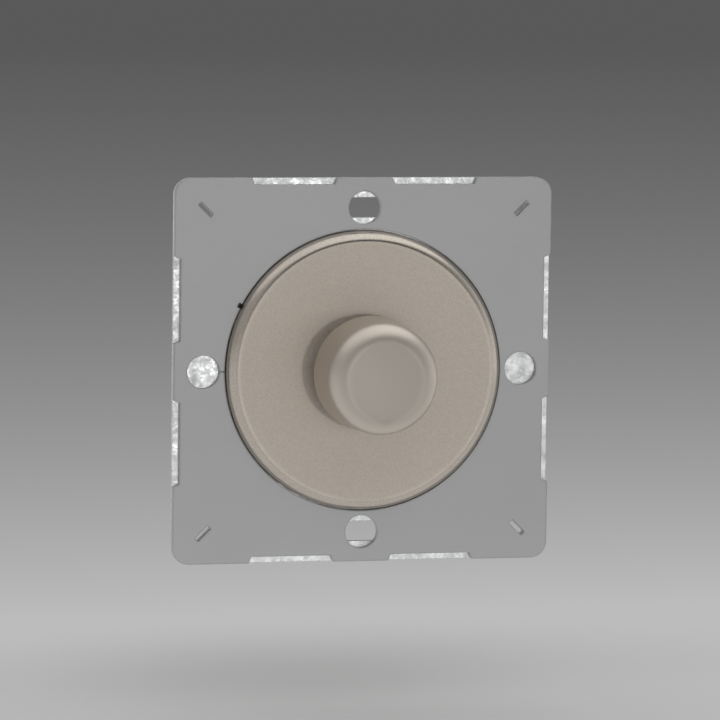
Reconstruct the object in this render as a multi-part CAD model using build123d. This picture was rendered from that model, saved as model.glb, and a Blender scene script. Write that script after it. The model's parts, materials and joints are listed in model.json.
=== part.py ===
from build123d import *
import os
from math import asin, degrees

# A rotary push dimmer on a square steel mounting plate, in millimetres.
# X runs to the right and Z up, the front faces -Y, and Y = 0 is the wall behind the chassis.

# Mounting plate and the chassis sheet behind it
fixing_centres = 60.0
plate_margin = 5.5
corner_radius = 3.0
plate_thickness = 1.2
chassis_thickness = 1.0
plate_hole_diameter = 6.1
fixing_slot_length = 9.0
fixing_slot_width = 3.75
frame_slot_centres = 59.6
frame_slot_length = 3.3
frame_slot_width = 0.9
notch_spacing = 26.4
notch_length = 15.0
notch_depth = 1.2
notch_flare = 0.5
key_notch_angle = 152.5
key_notch_width = 0.9
key_notch_depth = 0.6
score_width = 0.25
score_depth = 0.3

# Cover disc and the carrier that snaps it to the chassis
disc_diameter = 51.8
disc_rise = 2.1
disc_rim_radius = 1.9
disc_wall = 0.9
disc_hole_diameter = 9.0
disc_gap = 0.15
carrier_slip = 0.1
carrier_wall = 1.6
carrier_flange_width = 5.0
carrier_flange_thickness = 1.4
leg_count = 4
leg_width = 4.0
leg_thickness = 1.4
leg_slot_clearance = 0.2
hook_reach = 0.6
hook_height = 1.4
hook_play = 0.05

# Knob and its moulded insert
knob_gap = 3.4
knob_height = 13.0
knob_skirt_diameter = 21.3
knob_front_diameter = 20.2
knob_edge_radius = 2.3
knob_crown = 0.3
knob_skirt_chamfer = 0.25
knob_wall = 1.6
knob_roof = 1.6
insert_clearance = 0.05
insert_hub_diameter = 10.4
insert_flange_thickness = 1.8
insert_rib_count = 6
insert_rib_thickness = 1.2
insert_rib_height = 3.0
insert_setback = 0.6
bore_end_gap = 0.3
leaf_thickness = 0.3
leaf_width = 3.4
leaf_play = 0.02

# Spindle, threaded bush, nut and washer
spindle_diameter = 6.0
spindle_across_flat = 4.5
spindle_groove_diameter = 4.6
spindle_chamfer = 0.4
running_clearance = 0.05
bush_diameter = 10.0
bush_flange_diameter = 12.4
bush_flange_thickness = 0.8
bush_headroom = 0.25
bush_stand = 0.3
thread_clearance = 0.02
hole_clearance = 0.15
nut_across_flats = 14.0
washer_diameter = 15.0
washer_thickness = 0.5
washer_tooth_count = 10
washer_tooth_width = 1.2
washer_tooth_length = 1.3
clip_diameter = 10.0
clip_thickness = 0.6
clip_mouth = 4.0
end_play = 0.2

# Rotary control behind the cover
push_travel = 1.5
turn_range = 270.0
control_diameter = 17.0
control_wall = 0.6
control_chamber_diameter = 12.6
rotor_diameter = 13.8
rotor_thickness = 1.8
rotor_gap = 0.1
rotor_lug_width = 1.6
rotor_lug_reach = 0.8
rotor_hub_diameter = 8.0
rotor_hub_stand = 0.4
brush_space = 1.0
brush_thickness = 0.25
brush_contact_diameter = 1.0
wafer_thickness = 1.2
locating_pin_diameter = 1.8
locating_pin_length = 1.2
crimp_tab_count = 3
crimp_tab_width = 2.4
crimp_tab_thickness = 0.5
crimp_tab_lap = 0.7
tag_count = 3
tag_pitch = 5.0
tag_width = 1.2
tag_thickness = 0.4

# Push switch behind the control
switch_width = 12.0
switch_wall = 1.2
switch_front_wall = 1.0
switch_lid_thickness = 0.9
plunger_flange_thickness = 1.0
plunger_clearance = 0.2
contact_gap = 0.1
spring_length = 4.5
spring_diameter = 6.4
spring_wire = 0.6
spring_turns = 4.0
spring_seat_gap = 0.05
bridge_thickness = 0.4
bridge_margin = 0.2
contact_tip_diameter = 1.4
contact_tip_height = 0.5
contact_blade_width = 2.0
contact_blade_thickness = 0.35
contact_leg_length = 3.4
contact_leg_width = 1.4

# Moulded housing
housing_width = 44.0
housing_corner = 9.0
housing_wall = 1.6
housing_depth = 24.0
housing_edge_radius = 1.5
cover_thickness = 2.4
lip_depth = 1.2
lip_wall = 1.2
lip_clearance = 0.15
hook_pocket_depth = 1.8
peg_diameter = 3.0
peg_height = 0.8
peg_spacing = 25.0
post_inset = 4.4
post_diameter = 6.0
boss_diameter = 5.2
housing_screw_diameter = 2.2
housing_screw_length = 14.0
screw_head_diameter = 4.2
screw_head_height = 1.4
screw_recess_depth = 3.5
screw_slot_width = 0.7
screw_slot_depth = 0.6
vent_count = 6
vent_pitch = 3.0
vent_width = 1.2
vent_length = 6.0
vent_from_back = 3.0

# Circuit board and what it carries
board_standoff = 0.8
board_thickness = 1.6
board_clearance = 0.3
board_window_clearance = 0.5
capacitor_length = 13.0
capacitor_side_gap = 1.2
capacitor_front_gap = 0.9
capacitor_edge_radius = 0.8
choke_front_gap = 1.8
choke_length = 13.0
choke_flange = 1.2
choke_turns = 9
winding_inset = 0.4
winding_thickness = 1.6
winding_groove = 0.35
reservoir_diameter = 7.4
reservoir_length = 12.0
reservoir_wall_gap = 1.6
reservoir_tag_gap = 0.6
reservoir_bead = 0.4
sink_side_gap = 0.9
sink_top_gap = 0.25
sink_thickness = 2.0
pad_thickness = 0.3
transistor_width = 6.6
transistor_height = 6.1
transistor_thickness = 2.3
transistor_spacing = 10.4
lead_pitch = 2.3
lead_width = 0.8
lead_thickness = 0.5
lead_drop = 0.8
strap_width = 4.0
strap_thickness = 0.4
strap_screw_diameter = 2.5
fuse_diameter = 5.0
fuse_length = 20.0
fuse_cap_length = 5.0
fuse_cap_wall = 0.2
fuse_rise = 1.0
fuse_lead_gap = 1.85
fuse_clip_width = 3.0
fuse_clip_thickness = 0.4
solder_hole_clearance = 0.15
solder_stub = 0.8

# Wire terminals along the bottom of the housing
terminal_count = 3
block_side_gap = 0.6
terminal_wall = 0.8
terminal_floor = 0.6
terminal_play = 0.2
clamp_height = 6.4
clamp_depth = 5.6
wire_hole_diameter = 3.4
entry_clearance = 0.4
terminal_screw_diameter = 3.0
terminal_head_diameter = 3.9
terminal_head_height = 1.9
access_clearance = 0.2
pin_diameter = 1.2

# Earth terminal on a tab folded back from the chassis
earth_tab_width = 5.6
earth_tab_reach = 9.0
earth_tab_offset = 5.0
earth_tab_gap = 1.0
earth_bend_radius = 0.4
earth_screw_diameter = 3.0
earth_screw_length = 6.0
earth_head_diameter = 4.8
earth_head_height = 1.8
earth_clamp_thickness = 1.0

# Radii and widths that follow
module_width = fixing_centres + 2 * plate_margin
fixing_radius = fixing_centres / 2
disc_radius = disc_diameter / 2
opening_radius = disc_radius + disc_gap
disc_bore_radius = disc_radius - disc_wall
carrier_radius = disc_bore_radius - carrier_slip
key_tip_radius = opening_radius + key_notch_depth
leg_outer_radius = carrier_radius - hook_reach - leg_slot_clearance
spindle_radius = spindle_diameter / 2
flat_offset = spindle_across_flat - spindle_radius
bush_radius = bush_diameter / 2
control_radius = control_diameter / 2
control_bore_radius = control_radius - control_wall
rotor_radius = rotor_diameter / 2
hub_radius = rotor_hub_diameter / 2
cavity_width = housing_width - 2 * housing_wall
cavity_corner = housing_corner - housing_wall
post_spacing = cavity_width - 2 * post_inset
switch_bore = switch_width - 2 * switch_wall
plunger_width = switch_bore - 2 * plunger_clearance
bridge_width = plunger_width - 2 * bridge_margin
contact_offset = bridge_width / 2 - contact_tip_diameter / 2 - bridge_margin
knob_bore_radius = knob_front_diameter / 2 - knob_wall

# Depths along Y, from the front face of the knob to the back of the housing
chassis_front = -chassis_thickness
plate_front = chassis_front - plate_thickness
disc_front = plate_front - disc_rise
disc_under = disc_front + disc_wall
skirt_edge = disc_front - knob_gap
knob_front = skirt_edge - knob_height
knob_ceiling = knob_front + knob_roof
insert_bore_end = knob_ceiling + insert_flange_thickness / 2
spindle_front = insert_bore_end + bore_end_gap
nut_back = chassis_front - washer_thickness
bush_front = disc_under + bush_headroom
nut_front = bush_front + bush_stand
control_front = cover_thickness
chamber_front = control_front + control_wall
bush_back = chamber_front + bush_flange_thickness
clip_front = bush_back + end_play
clip_back = clip_front + clip_thickness
shoulder = clip_back + push_travel + end_play
rotor_front = shoulder + rotor_gap
rotor_back = rotor_front + rotor_thickness
wafer_front = rotor_back + brush_space
wafer_back = wafer_front + wafer_thickness
hub_back = wafer_back + rotor_hub_stand
spindle_back = hub_back + end_play
switch_wall_front = spindle_back + end_play
switch_wall_back = switch_wall_front + switch_front_wall
plunger_front = spindle_back + contact_gap
flange_front = switch_wall_back + contact_gap
flange_back = flange_front + plunger_flange_thickness
bridge_back = flange_back + bridge_thickness
tip_back = bridge_back + contact_tip_height
blade_front = tip_back + push_travel + contact_gap
blade_back = blade_front + contact_blade_thickness
lid_front = flange_back + spring_length
lid_back = lid_front + switch_lid_thickness
board_front = wafer_back + board_standoff
board_back = board_front + board_thickness
cavity_back = housing_depth - housing_wall
sink_back = cover_thickness + sink_thickness
pad_back = sink_back + pad_thickness
transistor_back = pad_back + transistor_thickness
clamp_front = board_back + terminal_floor
clamp_back = clamp_front + clamp_depth
wire_depth = clamp_front + clamp_depth * 0.4
screw_tip = wire_depth + wire_hole_diameter / 2

# Heights and places that follow
sink_bottom = control_radius + crimp_tab_thickness + end_play
sink_top = cavity_width / 2 - lip_clearance - lip_wall - sink_top_gap
sink_height = sink_top - sink_bottom
sink_width = post_spacing - boss_diameter - 2 * sink_side_gap
transistor_bottom = sink_bottom + (sink_height - transistor_height) / 2
lead_top = transistor_bottom - lead_drop
block_bottom = -cavity_width / 2 + terminal_play
clamp_bottom = block_bottom + terminal_wall
clamp_middle = clamp_bottom + clamp_height / 2
block_top = clamp_bottom + clamp_height + 2 * terminal_play + terminal_wall
block_width = post_spacing - post_diameter - 2 * block_side_gap
terminal_pitch = (block_width - terminal_wall) / terminal_count
clamp_width = terminal_pitch - terminal_wall - 2 * terminal_play
reservoir_height = reservoir_wall_gap + reservoir_diameter / 2 - cavity_width / 2
tag_bottom = reservoir_height + reservoir_diameter / 2 + reservoir_tag_gap
fuse_depth = board_back + fuse_diameter / 2 + fuse_rise
fuse_offset = lead_top + lead_thickness + fuse_lead_gap
choke_place = (control_radius + cavity_width / 2) / 2
choke_diameter = board_front - cover_thickness - choke_front_gap
winding_diameter = choke_diameter - 2 * winding_inset
choke_core_diameter = winding_diameter - 2 * winding_thickness
capacitor_space = cavity_width / 2 - control_radius - crimp_tab_thickness
capacitor_width = capacitor_space - 2 * capacitor_side_gap
capacitor_front = cover_thickness + lip_depth + capacitor_front_gap
earth_tab_right = -(housing_width / 2 + earth_tab_gap)
earth_tab_middle = earth_tab_right - earth_tab_width / 2
earth_screw_depth = earth_tab_reach * 0.6


def slab(outline, front, back):
    """Extrude a front-view outline between two depths."""
    return extrude(Plane.XZ.offset(-back) * (Sketch() + outline), amount=back - front)


def drum(radius, front, back, x=0, z=0):
    """Solid cylinder along Y between two depths."""
    return slab(Pos(x, z) * Circle(radius), front, back)


def brick(x_span, y_span, z_span):
    """Box between two limits on each axis."""
    spans = (x_span, y_span, z_span)
    middle = [(low + high) / 2 for low, high in spans]
    return Pos(*middle) * Box(*[high - low for low, high in spans])


def about(middle, width):
    """Limits of a width centred on a place."""
    return middle - width / 2, middle + width / 2


def turned(*points):
    """Revolve a closed profile of (radius, depth) points about the spindle axis."""
    return revolve(make_face(Polyline(*points, close=True)), Axis.Y)


def d_outline(radius, flat):
    """Round outline cut off by a flat at a height above its centre."""
    return Circle(radius) - Pos(0, flat + radius) * Rectangle(4 * radius, 2 * radius)


def corner_places(spacing):
    """Four corners of a square pattern."""
    return GridLocations(spacing, spacing, 2, 2)


def fixing_places():
    """Places on the fixing circle: right, top, left and bottom."""
    return PolarLocations(fixing_radius, 4)


def leg_places(radius):
    """Places of the carrier legs, on the diagonals."""
    return PolarLocations(radius, leg_count, start_angle=180 / leg_count)


def frame_slots():
    """Narrow slots near the corners that run out along the diagonals."""
    places = PolarLocations(frame_slot_centres / 2 * 2**0.5, 4, start_angle=45)
    return places * Rectangle(frame_slot_length, frame_slot_width)


def edge_notches():
    """Pairs of shallow notches with slanted ends on all four edges."""
    half = notch_length / 2
    edge = module_width / 2
    notch = make_face(
        Polyline(
            (edge, -half - notch_flare),
            (edge - notch_depth, -half),
            (edge - notch_depth, half),
            (edge, half + notch_flare),
            close=True,
        )
    )
    pair = [Pos(0, side * notch_spacing / 2) * notch for side in (-1, 1)]
    return [Rot(0, 0, 90 * turn) * one for turn in range(4) for one in pair]


def key_bar(start, end, clearance):
    """Radial bar in the direction of the key notch, grown by a clearance."""
    place = Rot(0, 0, key_notch_angle) * Pos((start + end) / 2, 0)
    return place * Rectangle(end - start + 2 * clearance, key_notch_width + 2 * clearance)


def front_plate():
    """Satin steel front sheet with its disc opening, holes, slots and edge notches."""
    outline = RectangleRounded(module_width, module_width, corner_radius)
    outline -= Circle(opening_radius)
    outline -= fixing_places() * Circle(plate_hole_diameter / 2)
    outline -= frame_slots()
    outline -= edge_notches()
    outline -= key_bar(disc_radius, key_tip_radius, 0)
    sheet = slab(outline, plate_front, chassis_front)
    score = brick(
        (-fixing_radius, -disc_radius),
        (plate_front, plate_front + score_depth),
        about(0, score_width),
    )
    return sheet - score


def earth_tab():
    """Tab lanced out of the chassis and folded back, with a tapped hole."""
    tab = brick(
        about(earth_tab_middle, earth_tab_width),
        (chassis_front, earth_tab_reach),
        (earth_tab_offset, earth_tab_offset + chassis_thickness),
    )
    hole = Circle(earth_screw_diameter / 2 + thread_clearance)
    return tab - extrude(Pos(earth_tab_middle, earth_screw_depth) * hole, amount=2 * earth_tab_offset)


def chassis():
    """Zinc-plated sheet that carries the works and takes the box screws."""
    outline = RectangleRounded(module_width, module_width, corner_radius)
    outline -= Circle(bush_radius + hole_clearance)
    slot = SlotOverall(fixing_slot_length, fixing_slot_width)
    outline -= [Pos(0, side * fixing_radius) * slot for side in (-1, 1)]
    outline -= frame_slots()
    peg_hole = Circle(peg_diameter / 2 + hole_clearance)
    outline -= [Pos(0, side * peg_spacing / 2) * peg_hole for side in (-1, 1)]
    slot_depth = leg_thickness + 2 * leg_slot_clearance + hook_reach
    leg_slot = Rectangle(slot_depth, leg_width + 2 * leg_slot_clearance)
    outline -= leg_places(leg_outer_radius + leg_slot_clearance - slot_depth / 2) * leg_slot
    outline -= key_bar(carrier_radius - carrier_wall, key_tip_radius, leg_slot_clearance)
    lance_height = earth_tab_reach + chassis_thickness
    lance_middle = earth_tab_offset + chassis_thickness + lance_height / 2
    outline -= Pos(earth_tab_middle, lance_middle) * Rectangle(earth_tab_width, lance_height)
    sheet = slab(outline, chassis_front, 0) + earth_tab()
    bend = [
        edge
        for edge in sheet.edges().filter_by(Axis.X)
        if abs(edge.center().Z - earth_tab_offset) < 1e-6 and abs(edge.center().Y) < 1e-6
    ]
    return fillet(bend, earth_bend_radius)


def cover_disc():
    """Spun metal disc with a rounded rim, open at the back."""
    centre = (disc_radius - disc_rim_radius, disc_front + disc_rim_radius)
    inner_radius = disc_rim_radius - disc_wall
    hole = disc_hole_diameter / 2
    outline = Line((disc_radius, chassis_front), (disc_radius, centre[1]))
    outline += CenterArc(centre, disc_rim_radius, 0, -90)
    outline += Polyline(
        (centre[0], disc_front), (hole, disc_front), (hole, disc_under), (centre[0], disc_under)
    )
    outline += CenterArc(centre, inner_radius, -90, 90)
    outline += Polyline(
        (disc_bore_radius, centre[1]), (disc_bore_radius, chassis_front), (disc_radius, chassis_front)
    )
    return revolve(make_face(outline), Axis.Y)


def carrier_leg():
    """One snap leg on the +X side, with a slanted hook behind the chassis."""
    inner = leg_outer_radius - leg_thickness
    catch = leg_outer_radius + hook_reach
    side = make_face(
        Polyline(
            (inner, chassis_front - carrier_flange_thickness),
            (inner, hook_play + hook_height),
            (leg_outer_radius, hook_play + hook_height),
            (catch, hook_play + hook_height / 2),
            (catch, hook_play),
            (leg_outer_radius, hook_play),
            (leg_outer_radius, chassis_front - carrier_flange_thickness),
            close=True,
        )
    )
    return extrude(side, amount=leg_width / 2, both=True)


def key_foot():
    """Foot that passes under the disc's edge and fills the bottom of the key notch."""
    root = carrier_radius - carrier_wall
    post = slab(key_bar(root, carrier_radius, 0), disc_under + carrier_flange_thickness, -carrier_slip)
    toe = slab(key_bar(root, key_tip_radius, 0), chassis_front + hook_play, -carrier_slip)
    return post + toe


def disc_carrier():
    """Moulded ring inside the disc with snap legs and a key foot through the chassis."""
    inner = carrier_radius - carrier_wall
    lip = carrier_radius - carrier_flange_width
    bevel = disc_rim_radius - disc_wall + carrier_slip
    ring = turned(
        (carrier_radius, chassis_front),
        (carrier_radius, disc_under + bevel),
        (carrier_radius - bevel, disc_under),
        (lip, disc_under),
        (lip, disc_under + carrier_flange_thickness),
        (inner, disc_under + carrier_flange_thickness),
        (inner, chassis_front),
    )
    step = 360 / leg_count
    legs = [Rot(0, step * (turn + 0.5), 0) * carrier_leg() for turn in range(leg_count)]
    return ring + legs + key_foot()


def knob():
    """Turned metal knob: tapered skirt, rounded front edge, shallow crown, hollow behind."""
    skirt = knob_skirt_diameter / 2
    front = knob_front_diameter / 2
    crown_radius = (front**2 + knob_crown**2) / (2 * knob_crown)
    corner = (front, knob_front + knob_crown)
    outline = Polyline(
        (0, knob_front),
        (0, knob_ceiling),
        (knob_bore_radius, knob_ceiling),
        (knob_bore_radius, skirt_edge),
        (skirt - knob_skirt_chamfer, skirt_edge),
        (skirt, skirt_edge - knob_skirt_chamfer),
        corner,
    )
    reach = degrees(asin(front / crown_radius))
    outline += CenterArc((0, knob_front + crown_radius), crown_radius, -90, reach)
    profile = make_face(outline)
    edge = profile.vertices().sort_by_distance((*corner, 0))[0]
    return revolve(fillet(edge, knob_edge_radius), Axis.Y)


def knob_insert():
    """Moulded insert pressed into the knob, with a D bore for the spindle."""
    radius = knob_bore_radius - insert_clearance
    hub = insert_hub_diameter / 2
    back = skirt_edge - insert_setback
    flange_back_face = knob_ceiling + insert_flange_thickness
    body = turned(
        (0, knob_ceiling),
        (radius, knob_ceiling),
        (radius, flange_back_face),
        (hub, flange_back_face),
        (hub, back),
        (0, back),
    )
    rib_outline = PolarLocations((hub + radius) / 2, insert_rib_count) * Rectangle(
        radius - hub + insert_rib_thickness / 2, insert_rib_thickness
    )
    ribs = slab(rib_outline, flange_back_face, flange_back_face + insert_rib_height)
    limit = drum(radius, knob_ceiling, back)
    bore_flat = flat_offset + leaf_thickness + 2 * leaf_play
    bore = slab(d_outline(spindle_radius + running_clearance, bore_flat), insert_bore_end, back)
    return body + (ribs & limit) - bore


def knob_leaf():
    """Spring steel leaf between the spindle's flat and the insert."""
    low = flat_offset + leaf_play
    return brick(
        about(0, leaf_width),
        (spindle_front, skirt_edge - insert_setback),
        (low, low + leaf_thickness),
    )


def spindle():
    """Steel spindle with a flat at each end and a clip groove between."""
    shaft = turned(
        (0, spindle_front),
        (spindle_radius - spindle_chamfer, spindle_front),
        (spindle_radius, spindle_front + spindle_chamfer),
        (spindle_radius, spindle_back - spindle_chamfer),
        (spindle_radius - spindle_chamfer, spindle_back),
        (0, spindle_back),
    )
    ring = Circle(spindle_diameter) - Circle(spindle_groove_diameter / 2)
    groove = slab(ring, clip_front - running_clearance, clip_back + running_clearance)
    flat = Pos(0, flat_offset + spindle_radius) * Rectangle(2 * spindle_diameter, spindle_diameter)
    front_flat = slab(flat, spindle_front, skirt_edge)
    back_flat = slab(flat, clip_back + end_play, spindle_back)
    return shaft - groove - front_flat - back_flat


def spindle_clip():
    """Open retaining clip in the spindle's groove."""
    bore = spindle_groove_diameter / 2 + running_clearance
    outline = Circle(clip_diameter / 2) - Circle(bore)
    outline -= Pos(0, -clip_diameter / 2) * Rectangle(clip_mouth, clip_diameter)
    return slab(outline, clip_front, clip_back)


def control_bush():
    """Threaded bush with a flange that sits inside the control case."""
    bore = spindle_radius + running_clearance
    flange = bush_flange_diameter / 2
    return turned(
        (bore, bush_front),
        (bush_radius - spindle_chamfer, bush_front),
        (bush_radius, bush_front + spindle_chamfer),
        (bush_radius, chamber_front),
        (flange, chamber_front),
        (flange, bush_back),
        (bore, bush_back),
    )


def bush_nut():
    """Hexagon nut with bevelled corners that clamps the works to the chassis."""
    corner = nut_across_flats / 3**0.5
    flat = nut_across_flats / 2
    blank = slab(RegularPolygon(corner, 6), nut_front, nut_back)
    bevel = corner - flat
    limit = turned(
        (0, nut_front),
        (flat, nut_front),
        (corner, nut_front + bevel / 2),
        (corner, nut_back),
        (0, nut_back),
    )
    return (blank & limit) - drum(bush_radius + thread_clearance, nut_front, nut_back)


def lock_washer():
    """Internal tooth lock washer under the nut."""
    bore = bush_radius + hole_clearance
    outline = Circle(washer_diameter / 2) - Circle(bore)
    gap = Rectangle(2 * washer_tooth_length, washer_tooth_width)
    outline -= PolarLocations(bore, washer_tooth_count) * gap
    return slab(outline, nut_back, chassis_front)


def crimp_tabs():
    """Tabs on the control case that fold over the back of the wafer."""
    outer = control_radius + crimp_tab_thickness
    inner = control_radius - crimp_tab_lap
    root = control_radius - control_wall / 2
    side = make_face(
        Polyline(
            (root, wafer_front - crimp_tab_width),
            (outer, wafer_front - crimp_tab_width),
            (outer, wafer_back + crimp_tab_thickness),
            (inner, wafer_back + crimp_tab_thickness),
            (inner, wafer_back),
            (root, wafer_back),
            close=True,
        )
    )
    tab = extrude(side, amount=crimp_tab_width / 2, both=True)
    seat = drum(control_radius, wafer_front, wafer_back)
    step = 360 / crimp_tab_count
    return [Rot(0, step * turn - 90, 0) * tab - seat for turn in range(crimp_tab_count)]


def control_case():
    """Cast case of the rotary control, with the stop that limits the turn."""
    chamber = control_chamber_diameter / 2
    hole = bush_radius + thread_clearance
    case = turned(
        (hole, control_front),
        (control_radius, control_front),
        (control_radius, wafer_front),
        (control_bore_radius, wafer_front),
        (control_bore_radius, shoulder),
        (chamber, shoulder),
        (chamber, chamber_front),
        (hole, chamber_front),
    )
    lug_angle = degrees(asin(rotor_lug_width / 2 / rotor_radius))
    play_angle = degrees(rotor_gap / rotor_radius)
    stop_angle = 360 - turn_range - 2 * (lug_angle + play_angle)
    stop_face = make_face(
        Polyline(
            (rotor_radius + rotor_gap, shoulder),
            (control_radius - control_wall / 2, shoulder),
            (control_radius - control_wall / 2, rotor_back),
            (rotor_radius + rotor_gap, rotor_back),
            close=True,
        )
    )
    stop = Rot(0, 90 - stop_angle / 2, 0) * revolve(stop_face, Axis.Y, stop_angle)
    pin_place = (bush_radius + hole_clearance + control_radius) / 2
    pin = drum(locating_pin_diameter / 2, control_front - locating_pin_length, control_front, x=-pin_place)
    return case + crimp_tabs() + stop + pin


def rotor():
    """Moulded rotor keyed to the spindle's flat, with a lug that meets the stop."""
    outline = Circle(rotor_radius)
    lug_height = rotor_radius + rotor_lug_reach
    outline += Pos(0, lug_height / 2) * Rectangle(rotor_lug_width, lug_height)
    body = slab(outline, rotor_front, rotor_back) + drum(hub_radius, rotor_back, hub_back)
    key = d_outline(spindle_radius + running_clearance, flat_offset + running_clearance)
    return body - slab(key, rotor_front, hub_back)


def wiper_brush():
    """Bronze brush ring on the rotor with two raised contacts."""
    inner = hub_radius + running_clearance
    outer = rotor_radius - rotor_gap
    middle = (inner + outer) / 2
    ring = slab(Circle(outer) - Circle(inner), rotor_back, rotor_back + brush_thickness)
    contacts = PolarLocations(middle, 2) * Circle(brush_contact_diameter / 2)
    return ring + slab(contacts, rotor_back, wafer_front - running_clearance)


def track_wafer():
    """Insulating wafer that carries the resistance track and closes the control."""
    outline = Circle(control_radius) - Circle(hub_radius + 1.5 * running_clearance)
    return slab(outline, wafer_front, wafer_back)


def tag_offsets():
    """Sideways places of the control's solder tags."""
    first = -(tag_count - 1) / 2 * tag_pitch
    return [first + tag_pitch * number for number in range(tag_count)]


def control_tags():
    """Solder tags that run down the wafer and back through the board."""
    tags = []
    for offset in tag_offsets():
        flat = brick(
            about(offset, tag_width),
            (wafer_back, wafer_back + tag_thickness),
            (tag_bottom, -switch_width / 2 - end_play),
        )
        leg = brick(
            about(offset, tag_width),
            (wafer_back, board_back + solder_stub),
            (tag_bottom, tag_bottom + tag_thickness),
        )
        tags.append(flat + leg)
    return Compound(children=tags)


def switch_case():
    """Moulded case of the push switch, open at the back."""
    outer = Rectangle(switch_width, switch_width)
    inner = Rectangle(switch_bore, switch_bore)
    case = slab(outer, wafer_back, lid_front)
    case -= slab(inner, switch_wall_back, lid_front)
    case -= slab(inner, wafer_back, switch_wall_front)
    return case - drum(spindle_radius + hole_clearance, switch_wall_front, switch_wall_back)


def contact_places():
    """Opposite corners where the switch contacts meet."""
    return [(side * contact_offset, side * contact_offset) for side in (-1, 1)]


def contact_leg(side, gap=0.0):
    """Span of one fixed contact's leg, with a gap all round when it is a hole."""
    edge = side * switch_bore / 2
    middle_x = edge - side * contact_blade_thickness / 2
    middle_z = edge - side * (contact_blade_width - contact_leg_width / 2)
    return Pos(middle_x, middle_z) * Rectangle(contact_blade_thickness + gap, contact_leg_width + gap)


def fixed_contacts():
    """Pair of fixed contact blades with legs through the switch lid."""
    contacts = []
    for side in (-1, 1):
        middle = side * (switch_bore - contact_blade_width) / 2
        blade = Pos(middle, middle) * Rectangle(contact_blade_width, contact_blade_width)
        leg = slab(contact_leg(side), blade_front, blade_back + contact_leg_length)
        contacts.append(slab(blade, blade_front, blade_back) + leg)
    return Compound(children=contacts)


def switch_lid():
    """Lid on the back of the push switch, slotted for the contact legs."""
    outline = Rectangle(switch_width, switch_width)
    outline -= [contact_leg(side, thread_clearance) for side in (-1, 1)]
    return slab(outline, lid_front, lid_back)


def switch_plunger():
    """Plunger that the spindle's end pushes back against the spring."""
    nose = drum(spindle_radius + running_clearance, plunger_front, flange_back)
    return nose + slab(Rectangle(plunger_width, plunger_width), flange_front, flange_back)


def contact_bridge():
    """Bronze bridge on the plunger with a contact tip at two corners."""
    hole = (spring_diameter + spring_wire) / 2 + plunger_clearance
    outline = Rectangle(bridge_width, bridge_width) - Circle(hole)
    bridge = slab(outline, flange_back, bridge_back)
    tips = [drum(contact_tip_diameter / 2, bridge_back, tip_back, x, z) for x, z in contact_places()]
    return bridge + tips


def return_spring():
    """Coil spring between the plunger and the switch lid."""
    start = flange_back + spring_wire / 2 + spring_seat_gap
    height = spring_length - spring_wire - 2 * spring_seat_gap
    coil = Helix(height / spring_turns, height, spring_diameter / 2)
    section = Plane(coil @ 0, z_dir=coil % 0) * Circle(spring_wire / 2)
    wire = sweep(section, coil, is_frenet=True)
    return Pos(0, start, 0) * Rot(-90, 0, 0) * wire


def housing_cover():
    """Moulded front cover with screw bosses, locating pegs and hook pockets."""
    outline = RectangleRounded(housing_width, housing_width, housing_corner)
    cover = slab(outline, 0, cover_thickness)
    lip_width = cavity_width - 2 * lip_clearance
    lip_corner = cavity_corner - lip_clearance
    lip = RectangleRounded(lip_width, lip_width, lip_corner)
    lip -= RectangleRounded(lip_width - 2 * lip_wall, lip_width - 2 * lip_wall, lip_corner - lip_wall)
    cover += slab(lip, cover_thickness, cover_thickness + lip_depth)
    cover += slab(corner_places(post_spacing) * Circle(boss_diameter / 2), cover_thickness, board_front)
    pilot = corner_places(post_spacing) * Circle(housing_screw_diameter / 2 + thread_clearance)
    cover -= slab(pilot, screw_end() - end_play, board_front)
    pegs = [Pos(0, side * peg_spacing / 2) * Circle(peg_diameter / 2) for side in (-1, 1)]
    cover += [slab(peg, -peg_height, 0) for peg in pegs]
    pocket_depth = leg_thickness + 3 * leg_slot_clearance + 2 * hook_reach
    pocket = Rectangle(pocket_depth, leg_width + 3 * leg_slot_clearance)
    pocket_middle = leg_outer_radius + hook_reach + leg_slot_clearance - pocket_depth / 2
    cover -= slab(leg_places(pocket_middle) * pocket, 0, hook_pocket_depth)
    cover -= drum(bush_radius + hole_clearance, 0, cover_thickness)
    pin_place = (bush_radius + hole_clearance + control_radius) / 2
    pin_hole = locating_pin_diameter / 2 + hole_clearance
    pin_end = control_front - locating_pin_length - end_play
    return cover - drum(pin_hole, pin_end, control_front, x=-pin_place)


def screw_end():
    """Depth of the housing screws' tips."""
    return housing_depth - screw_recess_depth - housing_screw_length


def vents():
    """Rows of slots through both side walls of the housing."""
    first = -(vent_count - 1) / 2 * vent_pitch
    back = cavity_back - vent_from_back
    slots = []
    for number in range(vent_count):
        slots.append(
            brick(
                about(0, housing_width + 2),
                (back - vent_length, back),
                about(first + number * vent_pitch, vent_width),
            )
        )
    return slots


def terminal_offsets():
    """Sideways places of the wire terminals."""
    first = -(terminal_count - 1) / 2 * terminal_pitch
    return [first + terminal_pitch * number for number in range(terminal_count)]


def wire_passage(offset, radius, low, high):
    """Vertical round passage for a wire between two heights."""
    return Pos(offset, wire_depth, (low + high) / 2) * Cylinder(radius, high - low)


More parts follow.
